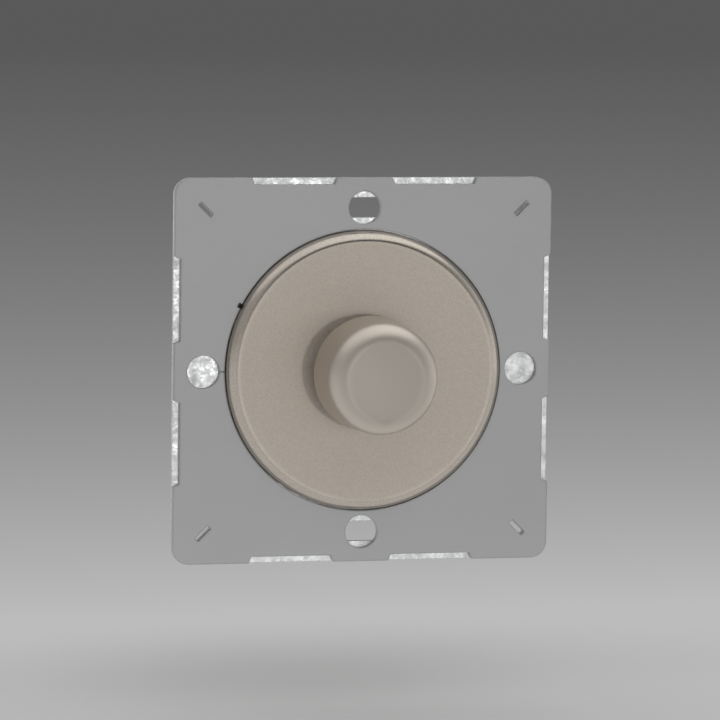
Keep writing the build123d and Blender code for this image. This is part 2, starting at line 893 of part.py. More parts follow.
def rear_housing():
    """Moulded rear housing with screw posts, vents and terminal openings."""
    outline = RectangleRounded(housing_width, housing_width, housing_corner)
    block = slab(outline, cover_thickness, housing_depth)
    block = fillet(block.faces().sort_by(Axis.Y)[-1].edges(), housing_edge_radius)
    cavity = RectangleRounded(cavity_width, cavity_width, cavity_corner)
    shell = block - slab(cavity, cover_thickness, cavity_back)
    posts = corner_places(post_spacing)
    post_solids = slab(posts * Circle(post_diameter / 2), board_back, cavity_back)
    shell += post_solids & slab(outline, board_back, cavity_back)
    shell -= slab(posts * Circle(housing_screw_diameter / 2 + hole_clearance), board_back, housing_depth)
    recess = posts * Circle(screw_head_diameter / 2 + access_clearance)
    shell -= slab(recess, housing_depth - screw_recess_depth, housing_depth)
    entry = wire_hole_diameter / 2 + entry_clearance
    access = terminal_head_diameter / 2 + access_clearance
    for offset in terminal_offsets():
        shell -= wire_passage(offset, entry, -housing_width / 2, -cavity_width / 2)
        shell -= drum(access, cavity_back, housing_depth, offset, clamp_middle)
    return shell - vents()


def slotted_head(radius, low, high, x, z):
    """Screw head facing +Y with a straight driver slot."""
    head = drum(radius, low, high, x, z)
    return head - brick(
        about(x, screw_slot_width), (high - screw_slot_depth, high), about(z, 2 * radius + 1)
    )


def housing_screws():
    """Screws from the back that hold the housing, board and cover together."""
    seat = housing_depth - screw_recess_depth
    screws = []
    for place in corner_places(post_spacing):
        x, z = place.position.X, place.position.Y
        shank = drum(housing_screw_diameter / 2, screw_end(), seat, x, z)
        screws.append(shank + slotted_head(screw_head_diameter / 2, seat, seat + screw_head_height, x, z))
    return Compound(children=screws)


def lead_places():
    """Front-view places of the transistor leads where they cross the board."""
    height = lead_top + lead_thickness / 2
    return [
        (side * transistor_spacing / 2 + number * lead_pitch, height)
        for side in (-1, 1)
        for number in (-1, 0, 1)
    ]


def circuit_board():
    """Circuit board with a window round the switch and holes for every lead."""
    width = cavity_width - 2 * board_clearance
    outline = RectangleRounded(width, width, cavity_corner - board_clearance)
    window = switch_width + 2 * board_window_clearance
    outline -= Rectangle(window, window)
    outline -= corner_places(post_spacing) * Circle(housing_screw_diameter / 2 + hole_clearance)
    tag_hole = tag_width / 2 + solder_hole_clearance
    tag_height = tag_bottom + tag_thickness / 2
    outline -= [Pos(offset, tag_height) * Circle(tag_hole) for offset in tag_offsets()]
    lead_hole = lead_width / 2 + solder_hole_clearance
    outline -= [Pos(x, z) * Circle(lead_hole) for x, z in lead_places()]
    pin_hole = pin_diameter / 2 + solder_hole_clearance
    outline -= [Pos(offset, clamp_middle) * Circle(pin_hole) for offset in terminal_offsets()]
    return slab(outline, board_front, board_back)


def film_capacitor():
    """Moulded film capacitor on the board, left of the control."""
    middle = (capacitor_space - cavity_width) / 2
    outline = Pos(middle, 0) * RectangleRounded(capacitor_width, capacitor_length, capacitor_edge_radius)
    return slab(outline, capacitor_front, board_front)


def choke_axis():
    """Place that stands a turned piece upright on the board, right of the control."""
    return Pos(choke_place, board_front - choke_diameter / 2, 0) * Rot(90, 0, 0)


def choke_core():
    """Ferrite drum core of the choke."""
    rim = choke_diameter / 2
    core = choke_core_diameter / 2
    end = choke_length / 2
    drum_core = turned(
        (0, -end),
        (rim, -end),
        (rim, choke_flange - end),
        (core, choke_flange - end),
        (core, end - choke_flange),
        (rim, end - choke_flange),
        (rim, end),
        (0, end),
    )
    return choke_axis() * drum_core


def choke_winding():
    """Copper winding in the core, with a groove between neighbouring turns."""
    inner = choke_core_diameter / 2 + thread_clearance
    outer = winding_diameter / 2
    span = choke_length - 2 * choke_flange - 2 * thread_clearance
    pitch = span / choke_turns
    points = [(inner, span / 2), (inner, -span / 2)]
    for number in range(choke_turns):
        start = number * pitch - span / 2
        points.append((outer - winding_groove, start))
        points.append((outer, start + pitch / 2))
    points.append((outer - winding_groove, span / 2))
    return choke_axis() * turned(*points)


def smoothing_capacitor():
    """Smoothing capacitor lying on the board below the control."""
    radius = reservoir_diameter / 2
    end = reservoir_length / 2
    waist = radius - reservoir_bead
    can = turned(
        (0, -end),
        (radius, -end),
        (radius, end - 4 * reservoir_bead),
        (waist, end - 3 * reservoir_bead),
        (radius, end - 2 * reservoir_bead),
        (radius, end),
        (0, end),
    )
    return Pos(0, board_front - radius, reservoir_height) * Rot(0, 0, -90) * can


def heat_sink():
    """Aluminium heat sink on the cover, above the control."""
    outline = Pos(0, sink_bottom + sink_height / 2) * Rectangle(sink_width, sink_height)
    outline -= Pos(0, strap_height()) * Circle(strap_screw_diameter / 2 + thread_clearance)
    return slab(outline, cover_thickness, sink_back)


def strap_height():
    """Height of the strap across the transistors."""
    return transistor_bottom + transistor_height / 2


def transistor_middles():
    """Sideways places of the pair of transistors."""
    return [side * transistor_spacing / 2 for side in (-1, 1)]


def transistor_outline(middle):
    """Front-view outline of one transistor and its pad."""
    return Pos(middle, strap_height()) * Rectangle(transistor_width, transistor_height)


def insulating_pads():
    """Thin pads between the heat sink and the transistors."""
    pads = [slab(transistor_outline(middle), sink_back, pad_back) for middle in transistor_middles()]
    return Compound(children=pads)


def transistor(middle):
    """One power transistor with its leads bent back through the board."""
    body = slab(transistor_outline(middle), pad_back, transistor_back)
    lead_front = (pad_back + transistor_back - lead_thickness) / 2
    for number in (-1, 0, 1):
        side = about(middle + number * lead_pitch, lead_width)
        body += brick(side, (lead_front, lead_front + lead_thickness), (lead_top, transistor_bottom))
        body += brick(side, (lead_front, board_back + solder_stub), (lead_top, lead_top + lead_thickness))
    return body


def transistors():
    """Pair of power transistors on the heat sink."""
    return Compound(children=[transistor(middle) for middle in transistor_middles()])


def transistor_strap():
    """Spring strap that presses both transistors to the heat sink."""
    length = transistor_spacing + transistor_width
    outline = Pos(0, strap_height()) * SlotOverall(length, strap_width)
    outline -= Pos(0, strap_height()) * Circle(strap_screw_diameter / 2 + hole_clearance / 3)
    return slab(outline, transistor_back, transistor_back + strap_thickness)


def strap_screw():
    """Screw that pulls the strap towards the heat sink."""
    seat = transistor_back + strap_thickness
    top = seat + strap_screw_diameter / 2
    shank = drum(strap_screw_diameter / 2, cover_thickness, seat, 0, strap_height())
    return shank + slotted_head(strap_screw_diameter * 0.9, seat, top, 0, strap_height())


def along_x(outline, low, high):
    """Extrude an outline in the YZ plane between two places on X."""
    return extrude(Plane.YZ.offset(low) * outline, amount=high - low)


def fuse_glass():
    """Glass tube of the fuse."""
    outline = Pos(fuse_depth, fuse_offset) * (Circle(fuse_diameter / 2) - Circle(fuse_diameter / 2 * 0.7))
    end = fuse_length / 2 - fuse_cap_wall
    return along_x(outline, -end, end)


def fuse_caps():
    """Metal end caps of the fuse."""
    bore = fuse_diameter / 2
    skin = bore + fuse_cap_wall
    end = fuse_length / 2
    caps = []
    for side in (-1, 1):
        low, high = sorted((side * (end - fuse_cap_length), side * end))
        cap = along_x(Pos(fuse_depth, fuse_offset) * Circle(skin), low, high)
        low, high = sorted((side * (end - fuse_cap_length), side * (end - fuse_cap_wall)))
        caps.append(cap - along_x(Pos(fuse_depth, fuse_offset) * Circle(bore), low, high))
    return Compound(children=caps)


def fuse_clips():
    """Spring clips on the board that hold the fuse by its caps."""
    inner = fuse_diameter / 2 + fuse_cap_wall
    outer = inner + fuse_clip_thickness
    rise = fuse_depth - board_back
    clip_outline = Pos(fuse_depth, fuse_offset) * (Circle(outer) - Circle(inner))
    clip_outline -= Pos(fuse_depth + outer, fuse_offset) * Rectangle(outer, 2 * inner)
    foot_middle = board_back + (rise - inner) / 2
    clip_outline += Pos(foot_middle, fuse_offset) * Rectangle(rise - inner, inner)
    middle = (fuse_length - fuse_cap_length) / 2
    clips = [along_x(clip_outline, *about(side * middle, fuse_clip_width)) for side in (-1, 1)]
    return Compound(children=clips)


def terminal_block():
    """Moulded block with a pocket for each wire clamp."""
    block = brick(about(0, block_width), (board_back, cavity_back), (block_bottom, block_top))
    entry = wire_hole_diameter / 2 + entry_clearance
    for offset in terminal_offsets():
        block -= brick(
            about(offset, clamp_width + 2 * terminal_play),
            (clamp_front, cavity_back),
            about(clamp_middle, clamp_height + 2 * terminal_play),
        )
        block -= wire_passage(offset, entry, block_bottom, clamp_bottom)
        block -= drum(pin_diameter / 2 + thread_clearance, board_back, clamp_front, offset, clamp_middle)
    return block


def terminal_clamps():
    """Brass wire clamps with a solder pin through the board."""
    clamps = []
    for offset in terminal_offsets():
        clamp = brick(
            about(offset, clamp_width), (clamp_front, clamp_back), about(clamp_middle, clamp_height)
        )
        clamp += drum(pin_diameter / 2, board_front + end_play, clamp_front, offset, clamp_middle)
        clamp -= wire_passage(offset, wire_hole_diameter / 2, clamp_bottom, clamp_bottom + clamp_height)
        hole = terminal_screw_diameter / 2 + thread_clearance
        clamps.append(clamp - drum(hole, wire_depth, clamp_back, offset, clamp_middle))
    return Compound(children=clamps)


def terminal_screws():
    """Clamp screws, backed off so that a wire can be put in."""
    screws = []
    for offset in terminal_offsets():
        shank = drum(terminal_screw_diameter / 2, screw_tip, clamp_back, offset, clamp_middle)
        head = slotted_head(
            terminal_head_diameter / 2, clamp_back, clamp_back + terminal_head_height, offset, clamp_middle
        )
        screws.append(shank + head)
    return Compound(children=screws)


def earth_clamp():
    """Saddle washer under the head of the earth screw."""
    low = earth_tab_offset + chassis_thickness
    outline = Pos(earth_tab_middle, earth_screw_depth) * RectangleRounded(
        earth_tab_width - 2 * end_play, earth_tab_width - 2 * end_play, earth_bend_radius
    )
    outline -= Pos(earth_tab_middle, earth_screw_depth) * Circle(earth_screw_diameter / 2 + hole_clearance)
    return extrude(Plane.XY.offset(low) * outline, amount=earth_clamp_thickness)


def earth_screw():
    """Earth screw through the saddle into the folded tab."""
    seat = earth_tab_offset + chassis_thickness + earth_clamp_thickness
    place = Pos(earth_tab_middle, earth_screw_depth)
    top = seat + earth_head_height
    base = Plane.XY.offset(seat)
    shank = extrude(base * place * Circle(earth_screw_diameter / 2), amount=-earth_screw_length)
    head = extrude(base * place * Circle(earth_head_diameter / 2), amount=earth_head_height)
    slot = brick(
        about(earth_tab_middle, earth_head_diameter + 1),
        about(earth_screw_depth, screw_slot_width),
        (top - screw_slot_depth, top),
    )
    return shank + head - slot


PIECES = (
    front_plate,
    chassis,
    cover_disc,
    disc_carrier,
    knob,
    knob_insert,
    knob_leaf,
    spindle,
    spindle_clip,
    control_bush,
    bush_nut,
    lock_washer,
    control_case,
    rotor,
    wiper_brush,
    track_wafer,
    control_tags,
    switch_case,
    switch_lid,
    switch_plunger,
    contact_bridge,
    fixed_contacts,
    return_spring,
    housing_cover,
    rear_housing,
    housing_screws,
    circuit_board,
    film_capacitor,
    choke_core,
    choke_winding,
    smoothing_capacitor,
    heat_sink,
    insulating_pads,
    transistors,
    transistor_strap,
    strap_screw,
    fuse_glass,
    fuse_caps,
    fuse_clips,
    terminal_block,
    terminal_clamps,
    terminal_screws,
    earth_clamp,
    earth_screw,
)


def main():
    """Build every piece and write it under its own name."""
    os.makedirs("parts", exist_ok=True)
    for piece in PIECES:
        export_step(piece(), f"parts/{piece.__name__}.step")


main()
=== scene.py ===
"""Looks of a rotary push dimmer: turned metal front, sheet-steel plate, moulded works and a pale studio."""

import json
import logging
from abc import ABC, abstractmethod
from dataclasses import dataclass, field, replace
from enum import Enum
from math import cos, pi, radians, sin
from typing import Union

import bmesh
import bpy
import numpy as np
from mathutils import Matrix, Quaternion, Vector


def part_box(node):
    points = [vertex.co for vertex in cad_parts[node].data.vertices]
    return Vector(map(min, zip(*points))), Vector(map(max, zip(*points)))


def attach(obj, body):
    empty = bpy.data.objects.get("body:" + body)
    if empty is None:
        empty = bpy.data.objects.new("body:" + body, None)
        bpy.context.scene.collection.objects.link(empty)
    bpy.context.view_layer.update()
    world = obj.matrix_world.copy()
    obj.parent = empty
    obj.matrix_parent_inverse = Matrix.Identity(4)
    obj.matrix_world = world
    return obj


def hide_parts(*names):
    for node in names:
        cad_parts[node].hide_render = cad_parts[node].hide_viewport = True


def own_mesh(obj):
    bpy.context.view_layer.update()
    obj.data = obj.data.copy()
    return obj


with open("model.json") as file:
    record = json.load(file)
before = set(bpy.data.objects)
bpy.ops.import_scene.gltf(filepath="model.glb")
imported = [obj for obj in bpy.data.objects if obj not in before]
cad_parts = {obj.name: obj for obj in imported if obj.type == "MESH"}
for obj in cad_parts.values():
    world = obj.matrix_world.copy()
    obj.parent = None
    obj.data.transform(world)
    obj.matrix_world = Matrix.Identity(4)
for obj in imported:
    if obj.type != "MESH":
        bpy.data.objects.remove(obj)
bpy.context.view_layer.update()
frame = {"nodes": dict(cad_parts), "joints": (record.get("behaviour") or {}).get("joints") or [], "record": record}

LOG = logging.getLogger("dimmer")
MM = 0.001
MERGE_DISTANCE = 1e-7
LEAST_EDGE = 1e-8
SHARP_ANGLE = radians(35)
BEVEL_SAMPLES = 4
MIX_FACTOR, MIX_FIRST, MIX_SECOND = 0, 6, 7
MIX_COLOUR = 2

Colour = tuple[float, float, float]
Point = tuple[float, float, float]
Span = tuple[float, float]
Names = tuple[str, ...]
Shape = tuple[np.ndarray, np.ndarray]
Operand = Union["Signal", float]

WHITE: Colour = (1.0, 1.0, 1.0)


class Body(Enum):
    """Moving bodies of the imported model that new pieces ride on."""

    BASE = "base"
    SPINDLE = "spindle"
    PLUNGER = "plunger"


class Signal:
    """Output socket of a shader node that takes part in sums as a number does.

    Each operator adds one Math node to the graph and stands for that node's value.
    """

    def __init__(self, graph: "ShaderGraph", socket: bpy.types.NodeSocket | None) -> None:
        """Keep the graph and the socket."""
        self.graph = graph
        self.socket = socket

    def __add__(self, other: Operand) -> "Signal":
        """Sum of two values."""
        return self.graph.maths("ADD", self, other)

    def __radd__(self, other: Operand) -> "Signal":
        """Sum with a number on the left."""
        return self.graph.maths("ADD", other, self)

    def __sub__(self, other: Operand) -> "Signal":
        """Difference of two values."""
        return self.graph.maths("SUBTRACT", self, other)

    def __rsub__(self, other: Operand) -> "Signal":
        """Difference from a number on the left."""
        return self.graph.maths("SUBTRACT", other, self)

    def __mul__(self, other: Operand) -> "Signal":
        """Product of two values."""
        return self.graph.maths("MULTIPLY", self, other)

    def __rmul__(self, other: Operand) -> "Signal":
        """Product with a number on the left."""
        return self.graph.maths("MULTIPLY", other, self)

    def __truediv__(self, other: Operand) -> "Signal":
        """Quotient of two values."""
        return self.graph.maths("DIVIDE", self, other)

    def __rtruediv__(self, other: Operand) -> "Signal":
        """Quotient of a number by this value."""
        return self.graph.maths("DIVIDE", other, self)


class ShaderGraph:
    """Node tree of a material or world, filled from Python expressions."""

    def __init__(self, tree: bpy.types.NodeTree) -> None:
        """Take over a tree and empty it."""
        self.tree = tree
        tree.nodes.clear()

    def add(
        self,
        kind: str,
        settings: dict[str, object] | None = None,
        sockets: dict[str | int, object] | None = None,
        out: str | int = 0,
    ) -> Signal:
        """Add one node and link it.

        Args:
            kind: Node type without its ShaderNode prefix.
            settings: Properties of the node, set before its sockets.
            sockets: Values or signals by input name or number.
            out: Output to return, by name or number.

        Returns:
            The chosen output.
        """
        node = self.tree.nodes.new("ShaderNode" + kind)
        for name, value in (settings or {}).items():
            setattr(node, name, value)
        for name, value in (sockets or {}).items():
            if isinstance(value, Signal):
                self.tree.links.new(value.socket, node.inputs[name])
            else:
                node.inputs[name].default_value = value
        outputs = node.outputs
        return Signal(self, outputs[out] if len(outputs) else None)

    def maths(self, operation: str, *values: Operand) -> Signal:
        """Math node on up to three numbers or signals."""
        return self.add("Math", {"operation": operation}, dict(enumerate(values)))

    def place(self, centre: Point = (0.0, 0.0, 0.0), stretch: Point = (1.0, 1.0, 1.0)) -> Signal:
        """Object coordinates measured from a centre, with the pattern drawn out along the axes.

        Args:
            centre: Point that becomes the pattern's origin, in metres.
            stretch: How much longer the pattern is along X, Y and Z.

        Returns:
            The mapped coordinates.
        """
        raw = self.add("TexCoord", out="Object")
        sockets = {"Vector": raw, "Location": centre, "Scale": stretch}
        return self.add("Mapping", {"vector_type": "TEXTURE"}, sockets)

    def axes(self, place: Signal) -> tuple[Signal, Signal, Signal]:
        """The three components of a vector.

        Args:
            place: The vector.

        Returns:
            Its X, Y and Z.
        """
        first = self.add("SeparateXYZ", None, {0: place})
        outputs = first.socket.node.outputs
        return first, Signal(self, outputs[1]), Signal(self, outputs[2])

    def radius(self) -> Signal:
        """Distance from the spindle axis, which is the Y axis.

        Returns:
            The root of X squared plus Z squared.
        """
        across, _, up = self.axes(self.place())
        return self.maths("SQRT", across * across + up * up)

    def noise(self, place: Signal, pitch: float, detail: float = 2.0) -> Signal:
        """Soft noise about zero, from -0.5 to 0.5.

        Args:
            place: Coordinates.
            pitch: Size of a blotch, in metres.
            detail: Number of finer layers.

        Returns:
            The noise value.
        """
        sockets = {"Vector": place, "Scale": 1.0 / pitch, "Detail": detail}
        return self.add("TexNoise", None, sockets) - 0.5

    def cells(self, place: Signal, pitch: float) -> Signal:
        """One random value from -0.5 to 0.5 for each cell of a crystal pattern with a given pitch."""
        tint = self.add("TexVoronoi", None, {"Vector": place, "Scale": 1.0 / pitch}, "Color")
        return self.axes(tint)[0] - 0.5

    def step(self, value: Operand, low: float, high: float) -> Signal:
        """Smooth rise from 0 at low to 1 at high."""
        settings = {"interpolation_type": "SMOOTHSTEP"}
        return self.add("MapRange", settings, {"Value": value, "From Min": low, "From Max": high})

    def band(self, value: Signal, low: float, high: float, soft: float) -> Signal:
        """Mask that is 1 from low to high and fades over a soft width outside them."""
        return self.step(value, low - soft, low) * (1.0 - self.step(value, high, high + soft))

    def waves(self, value: Signal, pitch: float) -> Signal:
        """Sine of a value with a given pitch, from -0.5 to 0.5."""
        return self.maths("SINE", value * (2.0 * pi / pitch)) * 0.5

    def shaded(self, colour: Colour | Signal, factor: Signal) -> Signal:
        """Colour made lighter or darker by a factor."""
        return self.add("VectorMath", {"operation": "SCALE"}, {0: colour, "Scale": factor})

    def mixed(self, mask: Operand, first: Colour | Signal, second: Colour | Signal) -> Signal:
        """Colour that goes from the first to the second with a mask.

        Args:
            mask: Share of the second colour.
            first: Colour at 0.
            second: Colour at 1.

        Returns:
            The mixed colour.
        """
        ends = [(*one, 1.0) if isinstance(one, tuple) else one for one in (first, second)]
        sockets = {MIX_FACTOR: mask, MIX_FIRST: ends[0], MIX_SECOND: ends[1]}
        return self.add("Mix", {"data_type": "RGBA"}, sockets, MIX_COLOUR)


@dataclass(frozen=True)
class Surface:
    """What a finish hands to the shader.

    Colour, roughness and height may vary over the piece. Everything in fixed is one number for all of it.
    """

    colour: Signal
    roughness: Operand
    metallic: float = 0.0
    height: Signal | None = None
    relief: float = 0.0
    fixed: dict[str, float] = field(default_factory=dict)


@dataclass(frozen=True, kw_only=True)
class Finish(ABC):
    """Base of all finishes: a colour, a gloss and how far sharp edges look broken."""

    colour: Colour
    roughness: float
    edge_break: float = 0.12 * MM

    @abstractmethod
    def surface(self, graph: ShaderGraph) -> Surface:
        """Work out the pattern of the finish.

        Args:
            graph: Graph of the material.

        Returns:
            The surface for the shader.
        """

    def material(self, name: str) -> bpy.types.Material:
        """Make the finish's material.

        Args:
            name: Name of the material.

        Returns:
            The material.
        """
        material = bpy.data.materials.new(name)
        material.use_nodes = True
        graph = ShaderGraph(material.node_tree)
        look = self.surface(graph)
        sockets = {"Base Color": look.colour, "Roughness": look.roughness, "Metallic": look.metallic}
        normal = self.normal(graph, look)
        if normal is not None:
            sockets["Normal"] = normal
        shader = graph.add("BsdfPrincipled", None, {**sockets, **look.fixed})
        graph.add("OutputMaterial", None, {"Surface": shader})
        return material

    def normal(self, graph: ShaderGraph, look: Surface) -> Signal | None:
        """Normal with broken edges and the finish's fine relief.

        Args:
            graph: Graph of the material.
            look: Surface with the relief.

        Returns:
            The normal, or None where the plain one serves.
        """
        normal = None
        if self.edge_break > 0:
            normal = graph.add("Bevel", {"samples": BEVEL_SAMPLES}, {"Radius": self.edge_break})
        if look.height is not None:
            sockets = {"Height": look.height, "Distance": look.relief}
            if normal is not None:
                sockets["Normal"] = normal
            normal = graph.add("Bump", None, sockets)
        return normal


@dataclass(frozen=True, kw_only=True)
class SatinMetal(Finish):
    """Metal with a fine, even grain and faint clouds, as after blasting or satin plating."""

    grain: float = 0.25 * MM
    grain_contrast: float = 0.1
    grain_gloss: float = 0.5
    grain_relief: float = 0.004 * MM
    cloud: float = 9.0 * MM
    cloud_contrast: float = 0.06
    cloud_gloss: float = 0.04

    def surface(self, graph: ShaderGraph) -> Surface:
        """Grain in colour, gloss and relief, with clouds in colour and gloss.

        Args:
            graph: Graph of the material.

        Returns:
            The surface for the shader.
        """
        place = graph.place()
        grain = graph.noise(place, self.grain, detail=3.0)
        cloud = graph.noise(place, self.cloud, detail=1.0)
        tone = 1.0 + grain * self.grain_contrast + cloud * self.cloud_contrast
        gloss = self.roughness + grain * self.grain_contrast * self.grain_gloss + cloud * self.cloud_gloss
        colour = graph.shaded(self.colour, tone)
        return Surface(colour, gloss, metallic=1.0, height=grain, relief=self.grain_relief)


@dataclass(frozen=True, kw_only=True)
class RimmedMetal(SatinMetal):
    """Satin metal whose rim, beyond a radius from the spindle axis, has a gloss of its own and a tone of painted
    light.
    """

    rim_start: float
    rim_fade: float
    rim_roughness: float
    # Painted light: the rim's colour is lightened or darkened so that its highlights come out brighter or dimmer.
    rim_painted_light_tone: float

    def surface(self, graph: ShaderGraph) -> Surface:
        """Satin surface with the rim's gloss and its painted-light tone faded in by radius.

        Args:
            graph: Graph of the material.

        Returns:
            The surface for the shader.
        """
        look = super().surface(graph)
        rim = graph.step(graph.radius(), self.rim_start - self.rim_fade, self.rim_start + self.rim_fade)
        # Painted light: the rim's tone stands in for brighter or dimmer highlights on it.
        colour = graph.shaded(look.colour, 1.0 + rim * (self.rim_painted_light_tone - 1.0))
        gloss = look.roughness * (1.0 - rim) + rim * self.rim_roughness
        return replace(look, colour=colour, roughness=gloss)


@dataclass(frozen=True, kw_only=True)
class BrushedMetal(SatinMetal):
    """Satin metal with faint brush strokes along X."""

    stroke: float = 0.45 * MM
    stroke_length: float = 40.0
    stroke_contrast: float = 0.08

    def surface(self, graph: ShaderGraph) -> Surface:
        """Satin surface with long, thin strokes in tone and gloss.

        Args:
            graph: Graph of the material.

        Returns:
            The surface for the shader.
        """
        look = super().surface(graph)
        place = graph.place(stretch=(self.stroke_length, 1.0, 1.0))
        stroke = graph.noise(place, self.stroke) * self.stroke_contrast
        colour = graph.shaded(look.colour, 1.0 + stroke)
        return replace(look, colour=colour, roughness=look.roughness + stroke)


@dataclass(frozen=True, kw_only=True)
class ZincCoat(Finish):
    """Bright zinc plate: small crystals, cloudy stains and fine rolling streaks along X."""

    base_tone: float = 0.97
    crystal: float = 0.45 * MM
    crystal_contrast: float = 0.3
    crystal_gloss: float = 0.2
    crystal_height: float = 0.5
    stain: float = 1.6 * MM
    stain_contrast: float = 0.4
    stain_gloss: float = 0.3
    streak: float = 0.15 * MM
    streak_length: float = 12.0
    streak_contrast: float = 0.25
    relief: float = 0.006 * MM

    def surface(self, graph: ShaderGraph) -> Surface:
        """Crystals, stains and streaks in tone, the first two in gloss, crystals and streaks in relief.

        Args:
            graph: Graph of the material.

        Returns:
            The surface for the shader.
        """
        place = graph.place()
        crystal = graph.cells(place, self.crystal)
        stain = graph.noise(place, self.stain, detail=3.0)
        streak = graph.noise(graph.place(stretch=(self.streak_length, 1.0, 1.0)), self.streak, detail=1.0)
        patches = crystal * self.crystal_contrast + stain * self.stain_contrast
        tone = self.base_tone + patches + streak * self.streak_contrast
        gloss = self.roughness + crystal * self.crystal_gloss - stain * self.stain_gloss
        height = crystal * self.crystal_height + streak
        colour = graph.shaded(self.colour, tone)
        return Surface(colour, gloss, metallic=1.0, height=height, relief=self.relief)


@dataclass(frozen=True, kw_only=True)
class TurnedMetal(Finish):
    """Lathe-turned metal with fine tool rings round the spindle axis."""

    ring: float = 0.12 * MM
    ring_reach: float = 60.0
    ring_contrast: float = 0.12
    stain: float = 3.0 * MM
    stain_contrast: float = 0.1
    relief: float = 0.01 * MM

    def surface(self, graph: ShaderGraph) -> Surface:
        """Rings along the axis in tone, gloss and relief, stains in tone.

        Args:
            graph: Graph of the material.

        Returns:
            The surface for the shader.
        """
        rings = graph.noise(graph.place(stretch=(self.ring_reach, 1.0, self.ring_reach)), self.ring)
        stain = graph.noise(graph.place(), self.stain)
        tone = 1.0 + rings * self.ring_contrast + stain * self.stain_contrast
        gloss = self.roughness + rings * self.ring_contrast
        colour = graph.shaded(self.colour, tone)
        return Surface(colour, gloss, metallic=1.0, height=rings, relief=self.relief)


@dataclass(frozen=True, kw_only=True)
class RolledMetal(Finish):
    """Stamped strip or extrusion with rolling streaks along X and a trace of tarnish."""

    streak: float = 0.14 * MM
    streak_length: float = 25.0
    streak_contrast: float = 0.16
    streak_gloss: float = 0.12
    tarnish: Colour = (0.5, 0.42, 0.3)
    tarnish_share: float = 0.25
    tarnish_gloss: float = 0.08
    spot: float = 2.5 * MM
    spot_edge: Span = (0.0, 0.3)
    relief: float = 0.006 * MM

    def surface(self, graph: ShaderGraph) -> Surface:
        """Streaks in tone, gloss and relief, tarnish in colour and gloss.

        Args:
            graph: Graph of the material.

        Returns:
            The surface for the shader.
        """
        streak = graph.noise(graph.place(stretch=(self.streak_length, 1.0, 1.0)), self.streak)
        spots = graph.step(graph.noise(graph.place(), self.spot, detail=4.0), *self.spot_edge)
        base = graph.mixed(spots * self.tarnish_share, self.colour, self.tarnish)
        colour = graph.shaded(base, 1.0 + streak * self.streak_contrast)
        gloss = self.roughness + streak * self.streak_gloss + spots * self.tarnish_gloss
        return Surface(colour, gloss, metallic=1.0, height=streak, relief=self.relief)


@dataclass(frozen=True, kw_only=True)
class Moulding(Finish):
    """Moulded plastic: the eroded texture of its tool and faint flow clouds."""

    texture: float = 0.18 * MM
    texture_contrast: float = 0.05
    texture_gloss: float = 0.12
    texture_relief: float = 0.012 * MM
    flow: float = 11.0 * MM
    flow_contrast: float = 0.1
    flow_gloss: float = 0.08

    def surface(self, graph: ShaderGraph) -> Surface:
        """Tool texture and flow clouds in tone and gloss, the texture in relief.

        Args:
            graph: Graph of the material.

        Returns:
            The surface for the shader.
        """
        place = graph.place()
        texture = graph.noise(place, self.texture)
        flow = graph.noise(place, self.flow, detail=3.0)
        tone = 1.0 + flow * self.flow_contrast + texture * self.texture_contrast
        gloss = self.roughness + texture * self.texture_gloss + flow * self.flow_gloss
        colour = graph.shaded(self.colour, tone)
        return Surface(colour, gloss, height=texture, relief=self.texture_relief)


@dataclass(frozen=True, kw_only=True)
class TrackLaminate(Finish):
    """Brown paper laminate that carries a dark printed track ring."""

    track: Colour = (0.02, 0.02, 0.022)
    track_inner: float = 5.6 * MM
    track_outer: float = 7.4 * MM
    track_edge: float = 0.05 * MM
    fibre: float = 0.3 * MM
    fibre_length: float = 8.0
    fibre_contrast: float = 0.4
    fibre_gloss: float = 0.15
    relief: float = 0.01 * MM

    def surface(self, graph: ShaderGraph) -> Surface:
        """Fibres in the base, the track where the distance from the spindle axis lies in its ring.

        Args:
            graph: Graph of the material.

        Returns:
            The surface for the shader.
        """
        ring = graph.band(graph.radius(), self.track_inner, self.track_outer, self.track_edge)
        place = graph.place(stretch=(self.fibre_length, 1.0, 1.0))
        fibres = graph.noise(place, self.fibre, detail=3.0)
        base = graph.shaded(self.colour, 1.0 + fibres * self.fibre_contrast)
        gloss = self.roughness + fibres * self.fibre_gloss
        colour = graph.mixed(ring, base, self.track)
        return Surface(colour, gloss, height=fibres + ring, relief=self.relief)


@dataclass(frozen=True, kw_only=True)
class SolderMask(Finish):
    """Board lacquer over copper tracks that run along X in some fields and along Z in others."""

    copper: Colour = (0.09, 0.24, 0.1)
    lane: float = 1.3 * MM
    lane_edge: Span = (0.05, 0.15)
    field_size: float = 6.0 * MM
    field_edge: Span = (-0.02, 0.02)
    thread: float = 0.5 * MM
    weave_contrast: float = 0.3
    weave_gloss: float = 0.1
    relief: float = 0.03 * MM

    def surface(self, graph: ShaderGraph) -> Surface:
        """Tracks as raised lanes picked out by a random field, with weave in the base.

        Args:
            graph: Graph of the material.

        Returns:
            The surface for the shader.
        """
        place = graph.place()
        across, _, up = graph.axes(place)
        pick = graph.step(graph.cells(place, self.field_size), *self.field_edge)
        lanes = graph.waves(across, self.lane) * pick + graph.waves(up, self.lane) * (1.0 - pick)
        track = graph.step(lanes, *self.lane_edge)
        weave = graph.waves(across, self.thread) * graph.waves(up, self.thread)
        base = graph.mixed(track, self.colour, self.copper)
        colour = graph.shaded(base, 1.0 + weave * self.weave_contrast)
        gloss = self.roughness + weave * self.weave_gloss
        return Surface(colour, gloss, height=track, relief=self.relief)


